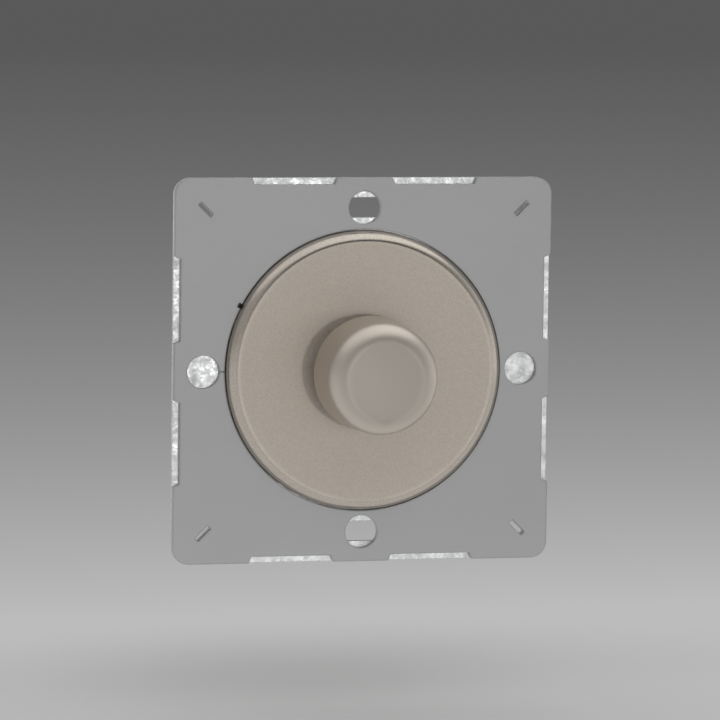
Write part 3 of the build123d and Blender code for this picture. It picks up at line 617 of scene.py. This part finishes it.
@dataclass(frozen=True, kw_only=True)
class WoundWire(Finish):
    """Enamelled wire wound on a core: turns that lie side by side along Z."""

    wire: float = 0.55 * MM
    # Painted shade: how much darker the grooves between turns are than their crowns.
    turn_groove_shade: float = 0.5
    enamel: float = 1.2 * MM
    enamel_contrast: float = 0.2
    enamel_gloss: float = 0.1
    coat: float = 0.6
    coat_roughness: float = 0.15
    metallic: float = 0.8
    relief: float = 0.2 * MM

    def surface(self, graph: ShaderGraph) -> Surface:
        """Turns as waves along Z in relief, and in tone as painted shade in the grooves between them, with enamel
        blotches under a clear coat.

        Args:
            graph: Graph of the material.

        Returns:
            The surface for the shader.
        """
        _, _, up = graph.axes(graph.place())
        turns = graph.waves(up, self.wire)
        enamel = graph.noise(graph.place(), self.enamel)
        # Painted shade: the tone falls in the grooves between turns and rises on their crowns.
        tone = 1.0 + turns * self.turn_groove_shade + enamel * self.enamel_contrast
        gloss = self.roughness + enamel * self.enamel_gloss
        fixed = {"Coat Weight": self.coat, "Coat Roughness": self.coat_roughness}
        return Surface(graph.shaded(self.colour, tone), gloss, self.metallic, turns, self.relief, fixed)


@dataclass(frozen=True, kw_only=True)
class Ceramic(Finish):
    """Pressed ferrite: dark grey with a sandy speckle."""

    speckle: float = 0.2 * MM
    speckle_contrast: float = 0.6
    speckle_gloss: float = 0.2
    relief: float = 0.02 * MM

    def surface(self, graph: ShaderGraph) -> Surface:
        """Speckle in tone, gloss and relief.

        Args:
            graph: Graph of the material.

        Returns:
            The surface for the shader.
        """
        speckle = graph.cells(graph.place(), self.speckle)
        colour = graph.shaded(self.colour, 1.0 + speckle * self.speckle_contrast)
        gloss = self.roughness + speckle * self.speckle_gloss
        return Surface(colour, gloss, height=speckle, relief=self.relief)


@dataclass(frozen=True, kw_only=True)
class ShrinkSleeve(Finish):
    """Shrunk plastic sleeve with one pale stripe along a lying can."""

    centre: Point
    stripe: Colour = (0.55, 0.57, 0.6)
    stripe_width: float = 2.2 * MM
    stripe_edge: float = 0.1 * MM
    back_edge: float = 0.2 * MM
    ripple: float = 0.8 * MM
    ripple_contrast: float = 0.15
    relief: float = 0.03 * MM

    def surface(self, graph: ShaderGraph) -> Surface:
        """Stripe where the height above the can's axis is small on its back side, with shrink ripples.

        Args:
            graph: Graph of the material.

        Returns:
            The surface for the shader.
        """
        place = graph.place(centre=self.centre)
        _, depth, up = graph.axes(place)
        stripe = graph.band(up, -self.stripe_width / 2, self.stripe_width / 2, self.stripe_edge)
        back = graph.step(depth, 0.0, self.back_edge)
        ripple = graph.noise(place, self.ripple)
        base = graph.mixed(stripe * back, self.colour, self.stripe)
        shade = ripple * self.ripple_contrast
        colour = graph.shaded(base, 1.0 + shade)
        return Surface(colour, self.roughness + shade, height=ripple, relief=self.relief)


@dataclass(frozen=True, kw_only=True)
class ClearGlass(Finish):
    """Drawn glass tube with a trace of dust."""

    dust: float = 0.9 * MM
    dust_edge: Span = (0.02, 0.3)
    dust_contrast: float = 0.1
    dust_gloss: float = 0.25
    refraction: float = 1.5

    def surface(self, graph: ShaderGraph) -> Surface:
        """Dust in tone and gloss over clear glass.

        Args:
            graph: Graph of the material.

        Returns:
            The surface for the shader.
        """
        dust = graph.step(graph.noise(graph.place(), self.dust, detail=4.0), *self.dust_edge)
        colour = graph.shaded(self.colour, 1.0 - dust * self.dust_contrast)
        fixed = {"Transmission Weight": 1.0, "IOR": self.refraction}
        return Surface(colour, self.roughness + dust * self.dust_gloss, fixed=fixed)


@dataclass(frozen=True, kw_only=True)
class WovenPad(Finish):
    """Glass-cloth pad filled with rubber: a plain weave under a dull skin."""

    thread: float = 0.4 * MM
    weave_contrast: float = 0.6
    weave_gloss: float = 0.2
    relief: float = 0.05 * MM

    def surface(self, graph: ShaderGraph) -> Surface:
        """Weave as the product of two waves, in tone, gloss and relief.

        Args:
            graph: Graph of the material.

        Returns:
            The surface for the shader.
        """
        across, _, up = graph.axes(graph.place())
        weave = graph.waves(across, self.thread) * graph.waves(up, self.thread)
        colour = graph.shaded(self.colour, 1.0 + weave * self.weave_contrast)
        gloss = self.roughness + weave * self.weave_gloss
        return Surface(colour, gloss, height=weave, relief=self.relief)


def middle(node: str) -> Point:
    """Centre of a node's box, in metres."""
    low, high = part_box(node)
    return tuple((low + high) / 2)


FINISHES: dict[str, Finish] = {
    "satin_plate": BrushedMetal(
        colour=(0.51, 0.511, 0.513),
        roughness=0.5,
        grain_contrast=0.08,
        cloud=22.0 * MM,
        cloud_contrast=0.14,
        edge_break=0.4 * MM,
    ),
    "zinc_sheet": ZincCoat(colour=(0.78, 0.785, 0.79), roughness=0.4),
    "turned_steel": TurnedMetal(colour=(0.58, 0.57, 0.55), roughness=0.28),
    "spring_steel": RolledMetal(colour=(0.42, 0.42, 0.44), roughness=0.3, tarnish=(0.25, 0.22, 0.24)),
    "nickel_brass": RolledMetal(colour=(0.66, 0.61, 0.53), roughness=0.26),
    "raw_brass": RolledMetal(colour=(0.74, 0.56, 0.27), roughness=0.3, tarnish=(0.42, 0.27, 0.1)),
    "bronze": RolledMetal(colour=(0.65, 0.4, 0.24), roughness=0.3, tarnish=(0.3, 0.17, 0.1)),
    "copper_wire": WoundWire(colour=(0.62, 0.25, 0.11), roughness=0.25),
    "die_cast": SatinMetal(colour=(0.5, 0.5, 0.51), roughness=0.45, grain_relief=0.02 * MM),
    "pale_moulding": Moulding(colour=(0.66, 0.66, 0.63), roughness=0.45),
    "dark_moulding": Moulding(colour=(0.035, 0.036, 0.038), roughness=0.42),
    "laminate": TrackLaminate(colour=(0.3, 0.15, 0.06), roughness=0.5),
    "board": SolderMask(colour=(0.03, 0.13, 0.05), roughness=0.35),
    "ferrite": Ceramic(colour=(0.06, 0.06, 0.065), roughness=0.6),
    "film_case": Moulding(colour=(0.62, 0.45, 0.1), roughness=0.35),
    "sleeve": ShrinkSleeve(colour=(0.03, 0.04, 0.08), roughness=0.35, centre=middle("smoothing_capacitor")),
    "sink_metal": RolledMetal(colour=(0.72, 0.73, 0.74), roughness=0.36, tarnish=(0.55, 0.56, 0.58)),
    "pad_film": WovenPad(colour=(0.45, 0.36, 0.36), roughness=0.7),
    "fuse_tube": ClearGlass(colour=(0.92, 0.95, 0.94), roughness=0.03),
}


class Palette:
    """Materials by the record's slot names, each made once."""

    def __init__(self) -> None:
        """Read which slot each node takes from the record."""
        self.slots = {row["node"]: row["material_slot"] for row in frame["record"]["subparts"]}
        self.made: dict[str, bpy.types.Material] = {}

    def material(self, slot: str) -> bpy.types.Material:
        """Material of a slot, made at its first use.

        Args:
            slot: Name of the slot.

        Returns:
            The material.
        """
        if slot not in self.made:
            self.made[slot] = FINISHES[slot].material(slot)
        return self.made[slot]

    def dress(self, node: str) -> None:
        """Give a carried-over node the finish of its slot.

        Args:
            node: Name of the node.
        """
        material = self.material(self.slots[node])
        for slot in frame["nodes"][node].material_slots:
            slot.material = material
        LOG.info("dressed %s in %s", node, self.slots[node])


def arc(centre: Span, radius: float, start: float, end: float, count: int) -> np.ndarray:
    """Points of a circular arc in a plane.

    Each point is the centre plus the radius times (cos a, sin a), with a in even steps.

    Args:
        centre: Centre in the plane, in metres.
        radius: Radius of the arc.
        start: First angle, in degrees.
        end: Last angle, in degrees.
        count: Number of points.

    Returns:
        Array of count points.
    """
    angles = np.radians(np.linspace(start, end, count))
    return np.array(centre) + radius * np.stack((np.cos(angles), np.sin(angles)), 1)


def run(start: np.ndarray, end: np.ndarray, guard: float = 0.03 * MM) -> np.ndarray:
    """Points of a straight run, with one close to each end.

    The close points keep the shading of the curves that join it off the straight run.

    Args:
        start: First end.
        end: Last end.
        guard: Distance of the close points from the ends.

    Returns:
        Array of four points.
    """
    share = guard / np.linalg.norm(end - start)
    return start + np.array([[0.0], [share], [1.0 - share], [1.0]]) * (end - start)


def skin(grid: np.ndarray) -> Shape:
    """Four-sided faces over a grid of points that is closed along its second direction.

    Args:
        grid: Array of rows, columns and coordinates.

    Returns:
        Array of points and array of faces.
    """
    count, steps = grid.shape[:2]
    rows = np.arange(count - 1)[:, None] * steps
    columns = np.arange(steps)[None, :]
    beside = (columns + 1) % steps
    corners = (rows + columns, rows + steps + columns, rows + steps + beside, rows + beside)
    return grid.reshape(-1, 3), np.stack(corners, 2).reshape(-1, 4)


def lathe(profile: np.ndarray, steps: int) -> Shape:
    """Surface of revolution about Y.

    The point at profile place s and angle t is (r(s) cos t, y(s), r(s) sin t). The profile comes back to its
    first point or has both its ends on the axis.

    Args:
        profile: Array of (radius, depth) points, in metres.
        steps: Number of steps round the axis.

    Returns:
        Array of points and array of faces.
    """
    angles = np.linspace(0.0, 2.0 * pi, steps, endpoint=False)
    radius, depth = profile[:, :1], profile[:, 1:]
    return skin(np.stack((radius * np.cos(angles), depth + 0.0 * angles, radius * np.sin(angles)), 2))


def make_piece(
    name: str, shape: Shape, body: Body, material: bpy.types.Material, node: str
) -> bpy.types.Object:
    """Put a surface into the scene as a closed, smooth piece that stands for a node.

    Args:
        name: Name of the piece.
        shape: Points and faces.
        body: Body that carries it.
        material: Material to wear.
        node: Node that it replaces.

    Returns:
        The new object.
    """
    mesh = bpy.data.meshes.new(name)
    points, faces = shape
    mesh.from_pydata(points, [], faces)
    work = bmesh.new()
    work.from_mesh(mesh)
    bmesh.ops.remove_doubles(work, verts=work.verts, dist=MERGE_DISTANCE)
    bmesh.ops.dissolve_degenerate(work, edges=work.edges, dist=LEAST_EDGE)
    bmesh.ops.recalc_face_normals(work, faces=work.faces)
    work.to_mesh(mesh)
    work.free()
    mesh.shade_smooth()
    mesh.set_sharp_from_angle(angle=SHARP_ANGLE)
    mesh.materials.append(material)
    piece = bpy.data.objects.new(name, mesh)
    bpy.context.scene.collection.objects.link(piece)
    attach(piece, body.value)
    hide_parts(node)
    LOG.info("made %s with %d faces on %s", name, len(mesh.polygons), body.value)
    return piece


@dataclass
class SubAssembly:
    """Pieces that belong together: some made anew, the rest solids that take the record's finishes."""

    nodes: Names = ()

    def build(self, palette: Palette) -> None:
        """Make the new pieces and dress the carried-over nodes.

        Args:
            palette: Materials by slot.
        """
        self.make_pieces(palette)
        for node in self.nodes:
            palette.dress(node)
        LOG.info("finished %s", type(self).__name__)

    def make_pieces(self, palette: Palette) -> None:
        """Make what a plain solid can't show; most sub-assemblies have nothing of the kind."""


@dataclass
class CoverDisc(SubAssembly):
    """Spun metal disc with a rounded rim and a hole for the spindle, on its moulded carrier."""

    nodes: Names = ("disc_carrier",)
    rim_radius: float = 2.4 * MM
    rim_points: int = 40
    wall: float = 0.9 * MM
    wall_points: int = 24
    hole_radius: float = 4.5 * MM
    edge_radius: float = 0.1 * MM
    edge_points: int = 6
    steps: int = 320
    finish: RimmedMetal = RimmedMetal(
        colour=(0.7, 0.632, 0.558),
        roughness=0.58,
        edge_break=0.0,
        grain=0.3 * MM,
        grain_contrast=0.5,
        grain_relief=0.01 * MM,
        rim_start=24.0 * MM,
        rim_fade=0.15 * MM,
        rim_roughness=0.24,
        # Painted shade: the rim's colour is darkened to dim its highlights.
        rim_painted_light_tone=0.74,
    )

    def profile(self) -> np.ndarray:
        """Section of the disc.

        Up the outer wall, round the rim, in along the face, through the hole and back along the inside, with
        small rounds at the hole and at the open edge.

        Returns:
            Array of (radius, depth) points that comes back to its first point.
        """
        low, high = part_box("cover_disc")
        outer, front, back = high.x, low.y, high.y
        small, few = self.edge_radius, self.edge_points
        hole, bore = self.hole_radius + small, outer - self.wall + small
        bend = (outer - self.rim_radius, front + self.rim_radius)
        rim = arc(bend, self.rim_radius, 0, -90, self.rim_points)
        lip_front = arc((hole, front + small), small, -90, -180, few)
        lip_back = arc((hole, front + self.wall - small), small, 180, 90, few)
        inside = arc(bend, self.rim_radius - self.wall, -90, 0, self.wall_points)
        edge_in = arc((bore, back - small), small, 180, 90, few)
        edge_out = arc((outer - small, back - small), small, 90, 0, few)
        outside = run(edge_out[-1], rim[0])[1:-1]
        face = run(rim[-1], lip_front[0])[1:-1]
        parts = (outside, rim, face, lip_front, lip_back, inside, edge_in, edge_out, outside[:1])
        return np.concatenate(parts)

    def make_pieces(self, palette: Palette) -> None:
        """Make the disc.

        Args:
            palette: Materials by slot; not used.
        """
        material = self.finish.material("champagne_disc")
        shape = lathe(self.profile(), self.steps)
        make_piece("dimmer_cover_disc", shape, Body.BASE, material, "cover_disc")


@dataclass
class TurnedKnob(SubAssembly):
    """Turned metal knob with tapered skirt, rounded edge, shallow crown and a bore, and its spindle."""

    nodes: Names = ("knob_insert", "knob_leaf", "spindle", "spindle_clip")
    front_radius: float = 10.1 * MM
    crown: float = 0.45 * MM
    crown_points: int = 16
    round_width: float = 3.2 * MM
    round_depth: float = 2.9 * MM
    round_power: float = 2.1
    round_points: int = 48
    skirt_chamfer: float = 0.25 * MM
    wall: float = 1.6 * MM
    roof: float = 1.6 * MM
    steps: int = 256
    finish: RimmedMetal = RimmedMetal(
        colour=(0.512, 0.463, 0.41),
        roughness=0.48,
        edge_break=0.0,
        grain=0.12 * MM,
        grain_contrast=0.05,
        grain_relief=0.002 * MM,
        cloud_contrast=0.03,
        rim_start=8.5 * MM,
        rim_fade=1.2 * MM,
        rim_roughness=0.42,
        # Painted highlight: the rounded edge's colour is lightened to brighten its highlights.
        rim_painted_light_tone=1.13,
    )

    def front(self, face: float, slope: float) -> np.ndarray:
        """Section of the knob's front, from the middle of its crown to the top of its skirt.

        The crown falls away with the square of the radius. The edge is a quarter of a superellipse,
        u^n + v^n = 1: as u goes from 0 to 1 the radius moves out to the skirt's sloping line, and as v goes
        from 1 to 0 the depth falls behind the crown.

        Args:
            face: Depth of the crown's middle.
            slope: How much the skirt widens for each unit of depth.

        Returns:
            Array of (radius, depth) points.
        """
        turn = np.linspace(pi / 2, 0.0, self.round_points)
        out = np.cos(turn) ** (2 / self.round_power)
        fall = 1.0 - np.sin(turn) ** (2 / self.round_power)
        inner = self.front_radius - self.round_width
        flat = np.linspace(0.0, inner, self.crown_points, endpoint=False)
        reach = np.concatenate((flat, inner + self.round_width * out))
        depth = face + self.crown * (reach / self.front_radius) ** 2
        edge = slice(self.crown_points, None)
        depth[edge] += self.round_depth * fall
        reach[edge] += out * slope * (depth[edge] - face - self.crown)
        return np.stack((reach, depth), 1)

    def profile(self) -> np.ndarray:
        """Section of the knob from the middle of its crown, down its skirt, to the middle of its ceiling.

        Returns:
            Array of (radius, depth) points that begins and ends on the axis.
        """
        low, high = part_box("knob")
        skirt, face, end = high.x, low.y, high.y
        foot = np.array([skirt, end - self.skirt_chamfer])
        slope = (skirt - self.front_radius) / (foot[1] - face - self.crown)
        front = self.front(face, slope)
        heel = np.array([skirt - self.skirt_chamfer, end])
        mouth = np.array([self.front_radius - self.wall, end])
        ceiling = np.array([mouth[0], face + self.roof])
        centre = np.array([[0.0, ceiling[1]]])
        side = run(front[-1], foot)[1:]
        bore = run(mouth, ceiling)[1:]
        return np.concatenate((front, side, run(heel, mouth), bore, centre))

    def make_pieces(self, palette: Palette) -> None:
        """Make the knob.

        Args:
            palette: Materials by slot; not used.
        """
        material = self.finish.material("champagne_knob")
        shape = lathe(self.profile(), self.steps)
        make_piece("dimmer_knob", shape, Body.SPINDLE, material, "knob")


@dataclass
class PushSwitch(SubAssembly):
    """Push switch behind the rotary control, with its coil spring riding on the plunger."""

    nodes: Names = ("switch_case", "switch_lid", "switch_plunger", "contact_bridge", "fixed_contacts")
    wire: float = 0.6 * MM
    turns: float = 4.0
    closed_pitch: float = 0.7 * MM
    rows: int = 200
    sides: int = 16
    joint: str = "plunger_push"

    def coil(self) -> Shape:
        """Spring wire: a circle carried along a helix about Y.

        The path at place s is (R cos a, y(s), -R sin a), with a the angle turned so far. Its rise follows
        a pitch that is small on the closed turns at both ends and larger between them. The circle stands
        on the outward normal and on the normal to that and the path, and shrinks to a point at both ends.

        Returns:
            Array of points and array of faces.
        """
        low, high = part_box("return_spring")
        place = np.linspace(0.0, 1.0, self.rows)
        height = high.y - low.y - self.wire
        closed = self.closed_pitch * self.turns / height
        pitch = closed + 2.0 * (1.0 - closed) * np.sin(pi * place) ** 2
        rise = np.concatenate(([0.0], np.cumsum((pitch[1:] + pitch[:-1]) / 2.0)))
        angle = 2.0 * pi * self.turns * place
        outward = np.stack((np.cos(angle), 0.0 * angle, -np.sin(angle)), 1)
        path = outward * (high.x - self.wire / 2.0)
        path[:, 1] = low.y + self.wire / 2.0 + height * rise / rise[-1]
        across = np.cross(np.gradient(path, axis=0), outward)
        across /= np.linalg.norm(across, axis=1, keepdims=True)
        row = np.concatenate(([0], np.arange(self.rows), [self.rows - 1]))
        radius = np.full(len(row), self.wire / 2.0)
        radius[[0, -1]] = 0.0
        turn = np.linspace(0.0, 2.0 * pi, self.sides, endpoint=False)[:, None]
        circle = outward[row, None] * np.cos(turn) + across[row, None] * np.sin(turn)
        return skin(path[row, None] + radius[:, None, None] * circle)

    def make_pieces(self, palette: Palette) -> None:
        """Make the spring, which rides on the plunger.

        Args:
            palette: Materials by slot.
        """
        node = "return_spring"
        slot = palette.slots[node]
        material = palette.material(slot)
        piece = make_piece("dimmer_return_spring", self.coil(), Body.PLUNGER, material, node)
        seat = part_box("switch_plunger")[1].y
        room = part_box("switch_lid")[0].y - seat
        travel = next(row["range_m"][1] for row in frame["joints"] if row["name"] == self.joint)
        1.0 - travel / room
        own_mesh(piece)


@dataclass
class MountingPlate(SubAssembly):
    """Satin front plate on the zinc-plated chassis."""

    nodes: Names = ("front_plate", "chassis")


@dataclass
class RotaryControl(SubAssembly):
    """Rotary control with its bush and nut, rotor, brush, track and tags."""

    nodes: Names = (
        "control_bush",
        "bush_nut",
        "lock_washer",
        "control_case",
        "rotor",
        "wiper_brush",
        "track_wafer",
        "control_tags",
    )


@dataclass
class Housing(SubAssembly):
    """Moulded cover and rear housing with their screws."""

    nodes: Names = ("housing_cover", "rear_housing", "housing_screws")


@dataclass
class CircuitBoard(SubAssembly):
    """Board with its capacitors and choke."""

    nodes: Names = ("circuit_board", "film_capacitor", "choke_core", "choke_winding", "smoothing_capacitor")


@dataclass
class PowerStage(SubAssembly):
    """Transistors held on the heat sink by a strap."""

    nodes: Names = ("heat_sink", "insulating_pads", "transistors", "transistor_strap", "strap_screw")


@dataclass
class Fuse(SubAssembly):
    """Glass fuse in its clips."""

    nodes: Names = ("fuse_glass", "fuse_caps", "fuse_clips")


@dataclass
class Terminals(SubAssembly):
    """Terminal block with its clamps and screws."""

    nodes: Names = ("terminal_block", "terminal_clamps", "terminal_screws")


@dataclass
class EarthTerminal(SubAssembly):
    """Earth clamp and screw on the chassis tab."""

    nodes: Names = ("earth_clamp", "earth_screw")


def direction(azimuth: float, elevation: float) -> Vector:
    """Unit vector towards an azimuth, from the front to the right, and an elevation, both in degrees."""
    turn, lift = radians(azimuth), radians(elevation)
    return Vector((sin(turn) * cos(lift), -cos(turn) * cos(lift), sin(lift)))


@dataclass
class Cove:
    """Pale paper floor that bends up into a wall behind the object."""

    floor_height: float = -62 * MM
    wall_depth: float = 46 * MM
    bend_radius: float = 40 * MM
    bend_points: int = 40
    front_reach: float = 450 * MM
    side_reach: float = 500 * MM
    wall_top: float = 420 * MM
    floor_colour: Colour = (0.6, 0.6, 0.6)
    floor_end: Span = (1 * MM, 4 * MM)
    floor_glow: float = 0.7
    near_glow: float = 0.04
    near_depth: Span = (-72 * MM, -46 * MM)
    wall_start: Span = (0.5 * MM, 12 * MM)
    wall_glow_strength: float = 0.238
    wall_fade: float = 68 * MM
    wall_least: float = 0.1

    def build(self) -> None:
        """Floor and wall joined by a quarter round.

        The point at profile place s and width u is (u, y(s), z(s)): a floor line, a quarter circle and
        a wall line.
        """
        centre = (self.wall_depth - self.bend_radius, self.floor_height + self.bend_radius)
        bend = arc(centre, self.bend_radius, -90, 0, self.bend_points)
        start = np.array([[-self.front_reach, self.floor_height]])
        top = np.array([[self.wall_depth, self.wall_top]])
        profile = np.concatenate((start, bend, top))
        widths = np.array([-self.side_reach, self.side_reach])
        grid = np.stack(np.broadcast_arrays(widths[None, :], profile[:, :1], profile[:, 1:]), 2)
        left = np.arange(len(profile) - 1) * 2
        faces = np.stack((left, left + 1, left + 3, left + 2), 1)
        mesh = bpy.data.meshes.new("studio_cove")
        mesh.from_pydata(grid.reshape(-1, 3), [], faces)
        mesh.shade_smooth()
        mesh.materials.append(self.material())
        cove = bpy.data.objects.new("studio_cove", mesh)
        bpy.context.scene.collection.objects.link(cove)
        LOG.info("made the cove")

    def material(self) -> bpy.types.Material:
        """Pale paper below that goes over into a glowing wall, seen from the front only.

        The wall is there for the camera alone: painted light that glows without a lamp and grows darker towards
        the top. Reflections show the floor with a painted glow of its own, a little stronger close in front of the
        object.

        Returns:
            The cove's material.
        """
        material = bpy.data.materials.new("studio_paper")
        material.use_nodes = True
        graph = ShaderGraph(material.node_tree)
        _, depth, height = graph.axes(graph.place())
        # Painted light: the wall's glow is strongest at the floor and fades towards the top.
        fade = graph.maths("EXPONENT", height / -self.wall_fade) * self.wall_glow_strength
        tone = graph.maths("MAXIMUM", fade, self.wall_least)
        near = graph.step(depth, *self.near_depth)
        mirrored = graph.add("LightPath", out="Is Glossy Ray")
        # Painted reflection: glossy rays see the floor glow, a little stronger close in front of the object.
        shown_tone = tone + mirrored * (self.floor_glow + near * self.near_glow - tone)
        wall = graph.step(height, *(self.floor_height + rise for rise in self.wall_start))
        floor = 1.0 - graph.step(height, *(self.floor_height + rise for rise in self.floor_end))
        camera = graph.add("LightPath", out="Is Camera Ray")
        front = 1.0 - graph.add("NewGeometry", out="Backfacing")
        shown = front * graph.maths("MAXIMUM", camera, floor)
        paper = graph.add("BsdfDiffuse", None, {"Color": (*self.floor_colour, 1.0)})
        glow = graph.add("Emission", None, {"Color": graph.shaded(WHITE, shown_tone)})
        lit = graph.maths("MAXIMUM", wall, mirrored)
        cove = graph.add("MixShader", None, {0: lit, 1: paper, 2: glow})
        clear = graph.add("BsdfTransparent")
        shader = graph.add("MixShader", None, {0: shown, 1: clear, 2: cove})
        graph.add("OutputMaterial", None, {"Surface": shader})
        return material


@dataclass(frozen=True)
class Panel:
    """Soft patch of light: where it begins and is full along one axis of direction, and its strength."""

    begin: float
    full: float
    strength: float

    def share(self, graph: ShaderGraph, value: Operand) -> Signal:
        """Share of the panel that a direction sees."""
        return graph.step(value, self.begin, self.full)

    def glow(self, graph: ShaderGraph, value: Operand) -> Signal:
        """Light of the panel in a direction."""
        return self.share(graph, value) * self.strength


@dataclass
class StudioLight:
    """Light by direction: a pale table below, a dim ring above the horizon, a soft ceiling, and a lamp."""

    table_strength: float = 0.36
    table_end: Span = (0.06, 0.13)
    front: Panel = Panel(-0.3, 0.4, 0.26)
    horizon: Panel = Panel(-0.2, 0.04, 0.34)
    left: Panel = Panel(0.05, 0.5, 0.3)
    right_fill: Panel = Panel(-0.15, 0.55, 0.5)
    right: Panel = Panel(0.8, 0.95, 0.06)
    below: Panel = Panel(0.3, 0.75, 0.1)
    ring_strength: float = 0.02
    ring_middle: float = 0.2
    ring_sides: Panel = Panel(0.1, 0.65, 0.42)
    ring_right: Panel = Panel(0.8, 0.95, 0.3)
    ceiling: Panel = Panel(0.54, 0.64, 0.92)
    ceiling_right: Panel = Panel(-0.4, 0.3, 0.3)
    shown_strength: float = 0.46
    key_strength: float = 0.15
    key_azimuth: float = 7.7
    key_elevation: float = -1.2
    key_spread: float = 2.2

    def build(self) -> None:
        """Set up the world and the lamp."""
        self.build_world()
        self.build_key()

    def build_world(self) -> None:
        """World whose strength depends on the direction alone and is even for the camera."""
        world = bpy.data.worlds.new("studio_light")
        bpy.context.scene.world = world
        world.use_nodes = True
        graph = ShaderGraph(world.node_tree)
        right, depth, up = graph.axes(graph.add("TexCoord", out="Generated"))
        table = 1.0 - graph.step(up, *self.table_end)
        sides = self.left.glow(graph, 0.0 - right) + self.right_fill.glow(graph, right)
        ahead = self.front.strength - self.horizon.glow(graph, up)
        table_light = self.table_strength + self.front.share(graph, 0.0 - depth) * ahead
        table_light += sides + self.right.glow(graph, right) + self.below.glow(graph, 0.0 - up)
        aside = graph.maths("ABSOLUTE", right - self.ring_middle)
        ring_light = self.ring_strength + self.ring_sides.glow(graph, aside)
        ring_light += self.ring_right.glow(graph, right)
        ceiling_light = self.ceiling.strength + self.ceiling_right.glow(graph, right)
        above = ring_light + self.ceiling.share(graph, up) * (ceiling_light - ring_light)
        light = table * table_light + (1.0 - table) * above
        camera = graph.add("LightPath", out="Is Camera Ray")
        strength = light + camera * (self.shown_strength - light)
        shader = graph.add("Background", None, {"Color": (*WHITE, 1.0), "Strength": strength})
        graph.add("OutputWorld", None, {"Surface": shader})
        LOG.info("made the studio light")

    def build_key(self) -> None:
        """Compact far lamp in front, which gives the knob its crisp shadow on the disc."""
        data = bpy.data.lights.new("key", "SUN")
        data.energy = self.key_strength
        data.angle = radians(self.key_spread)
        lamp = bpy.data.objects.new("key", data)
        lamp.rotation_mode = "QUATERNION"
        lamp.rotation_quaternion = direction(self.key_azimuth, self.key_elevation).to_track_quat("Z", "Y")
        bpy.context.scene.collection.objects.link(lamp)


@dataclass
class PhotoCamera:
    """Camera at the photograph's angle, rolled a little to level the plate."""

    target: Point = (-0.618 * MM, -2.2 * MM, 1.911 * MM)
    azimuth: float = -13.34
    elevation: float = 5.84
    roll: float = 0.7
    distance: float = 900 * MM
    lens: float = 244.2
    sensor: float = 36.0
    clip_start: float = 10 * MM

    def build(self) -> None:
        """Set up the camera and the plain view of colours."""
        back = direction(self.azimuth, self.elevation)
        data = bpy.data.cameras.new("camera")
        data.lens = self.lens
        data.sensor_width = self.sensor
        data.clip_start = self.clip_start
        camera = bpy.data.objects.new("camera", data)
        camera.location = Vector(self.target) + back * self.distance
        camera.rotation_mode = "QUATERNION"
        aim = (-back).to_track_quat("-Z", "Y")
        camera.rotation_quaternion = aim @ Quaternion((0.0, 0.0, 1.0), radians(self.roll))
        scene = bpy.context.scene
        scene.collection.objects.link(camera)
        scene.camera = camera
        scene.view_settings.view_transform = "Standard"


def main() -> None:
    """Build every sub-assembly, then the studio."""
    logging.basicConfig(level=logging.INFO, format="%(name)s: %(message)s")
    palette = Palette()
    front = (CoverDisc(), TurnedKnob(), PushSwitch(), MountingPlate(), RotaryControl())
    works = (Housing(), CircuitBoard(), PowerStage(), Fuse(), Terminals(), EarthTerminal())
    for assembly in front + works:
        assembly.build(palette)
    for setting in (Cove(), StudioLight(), PhotoCamera()):
        setting.build()


if __name__ == "__main__":
    main()
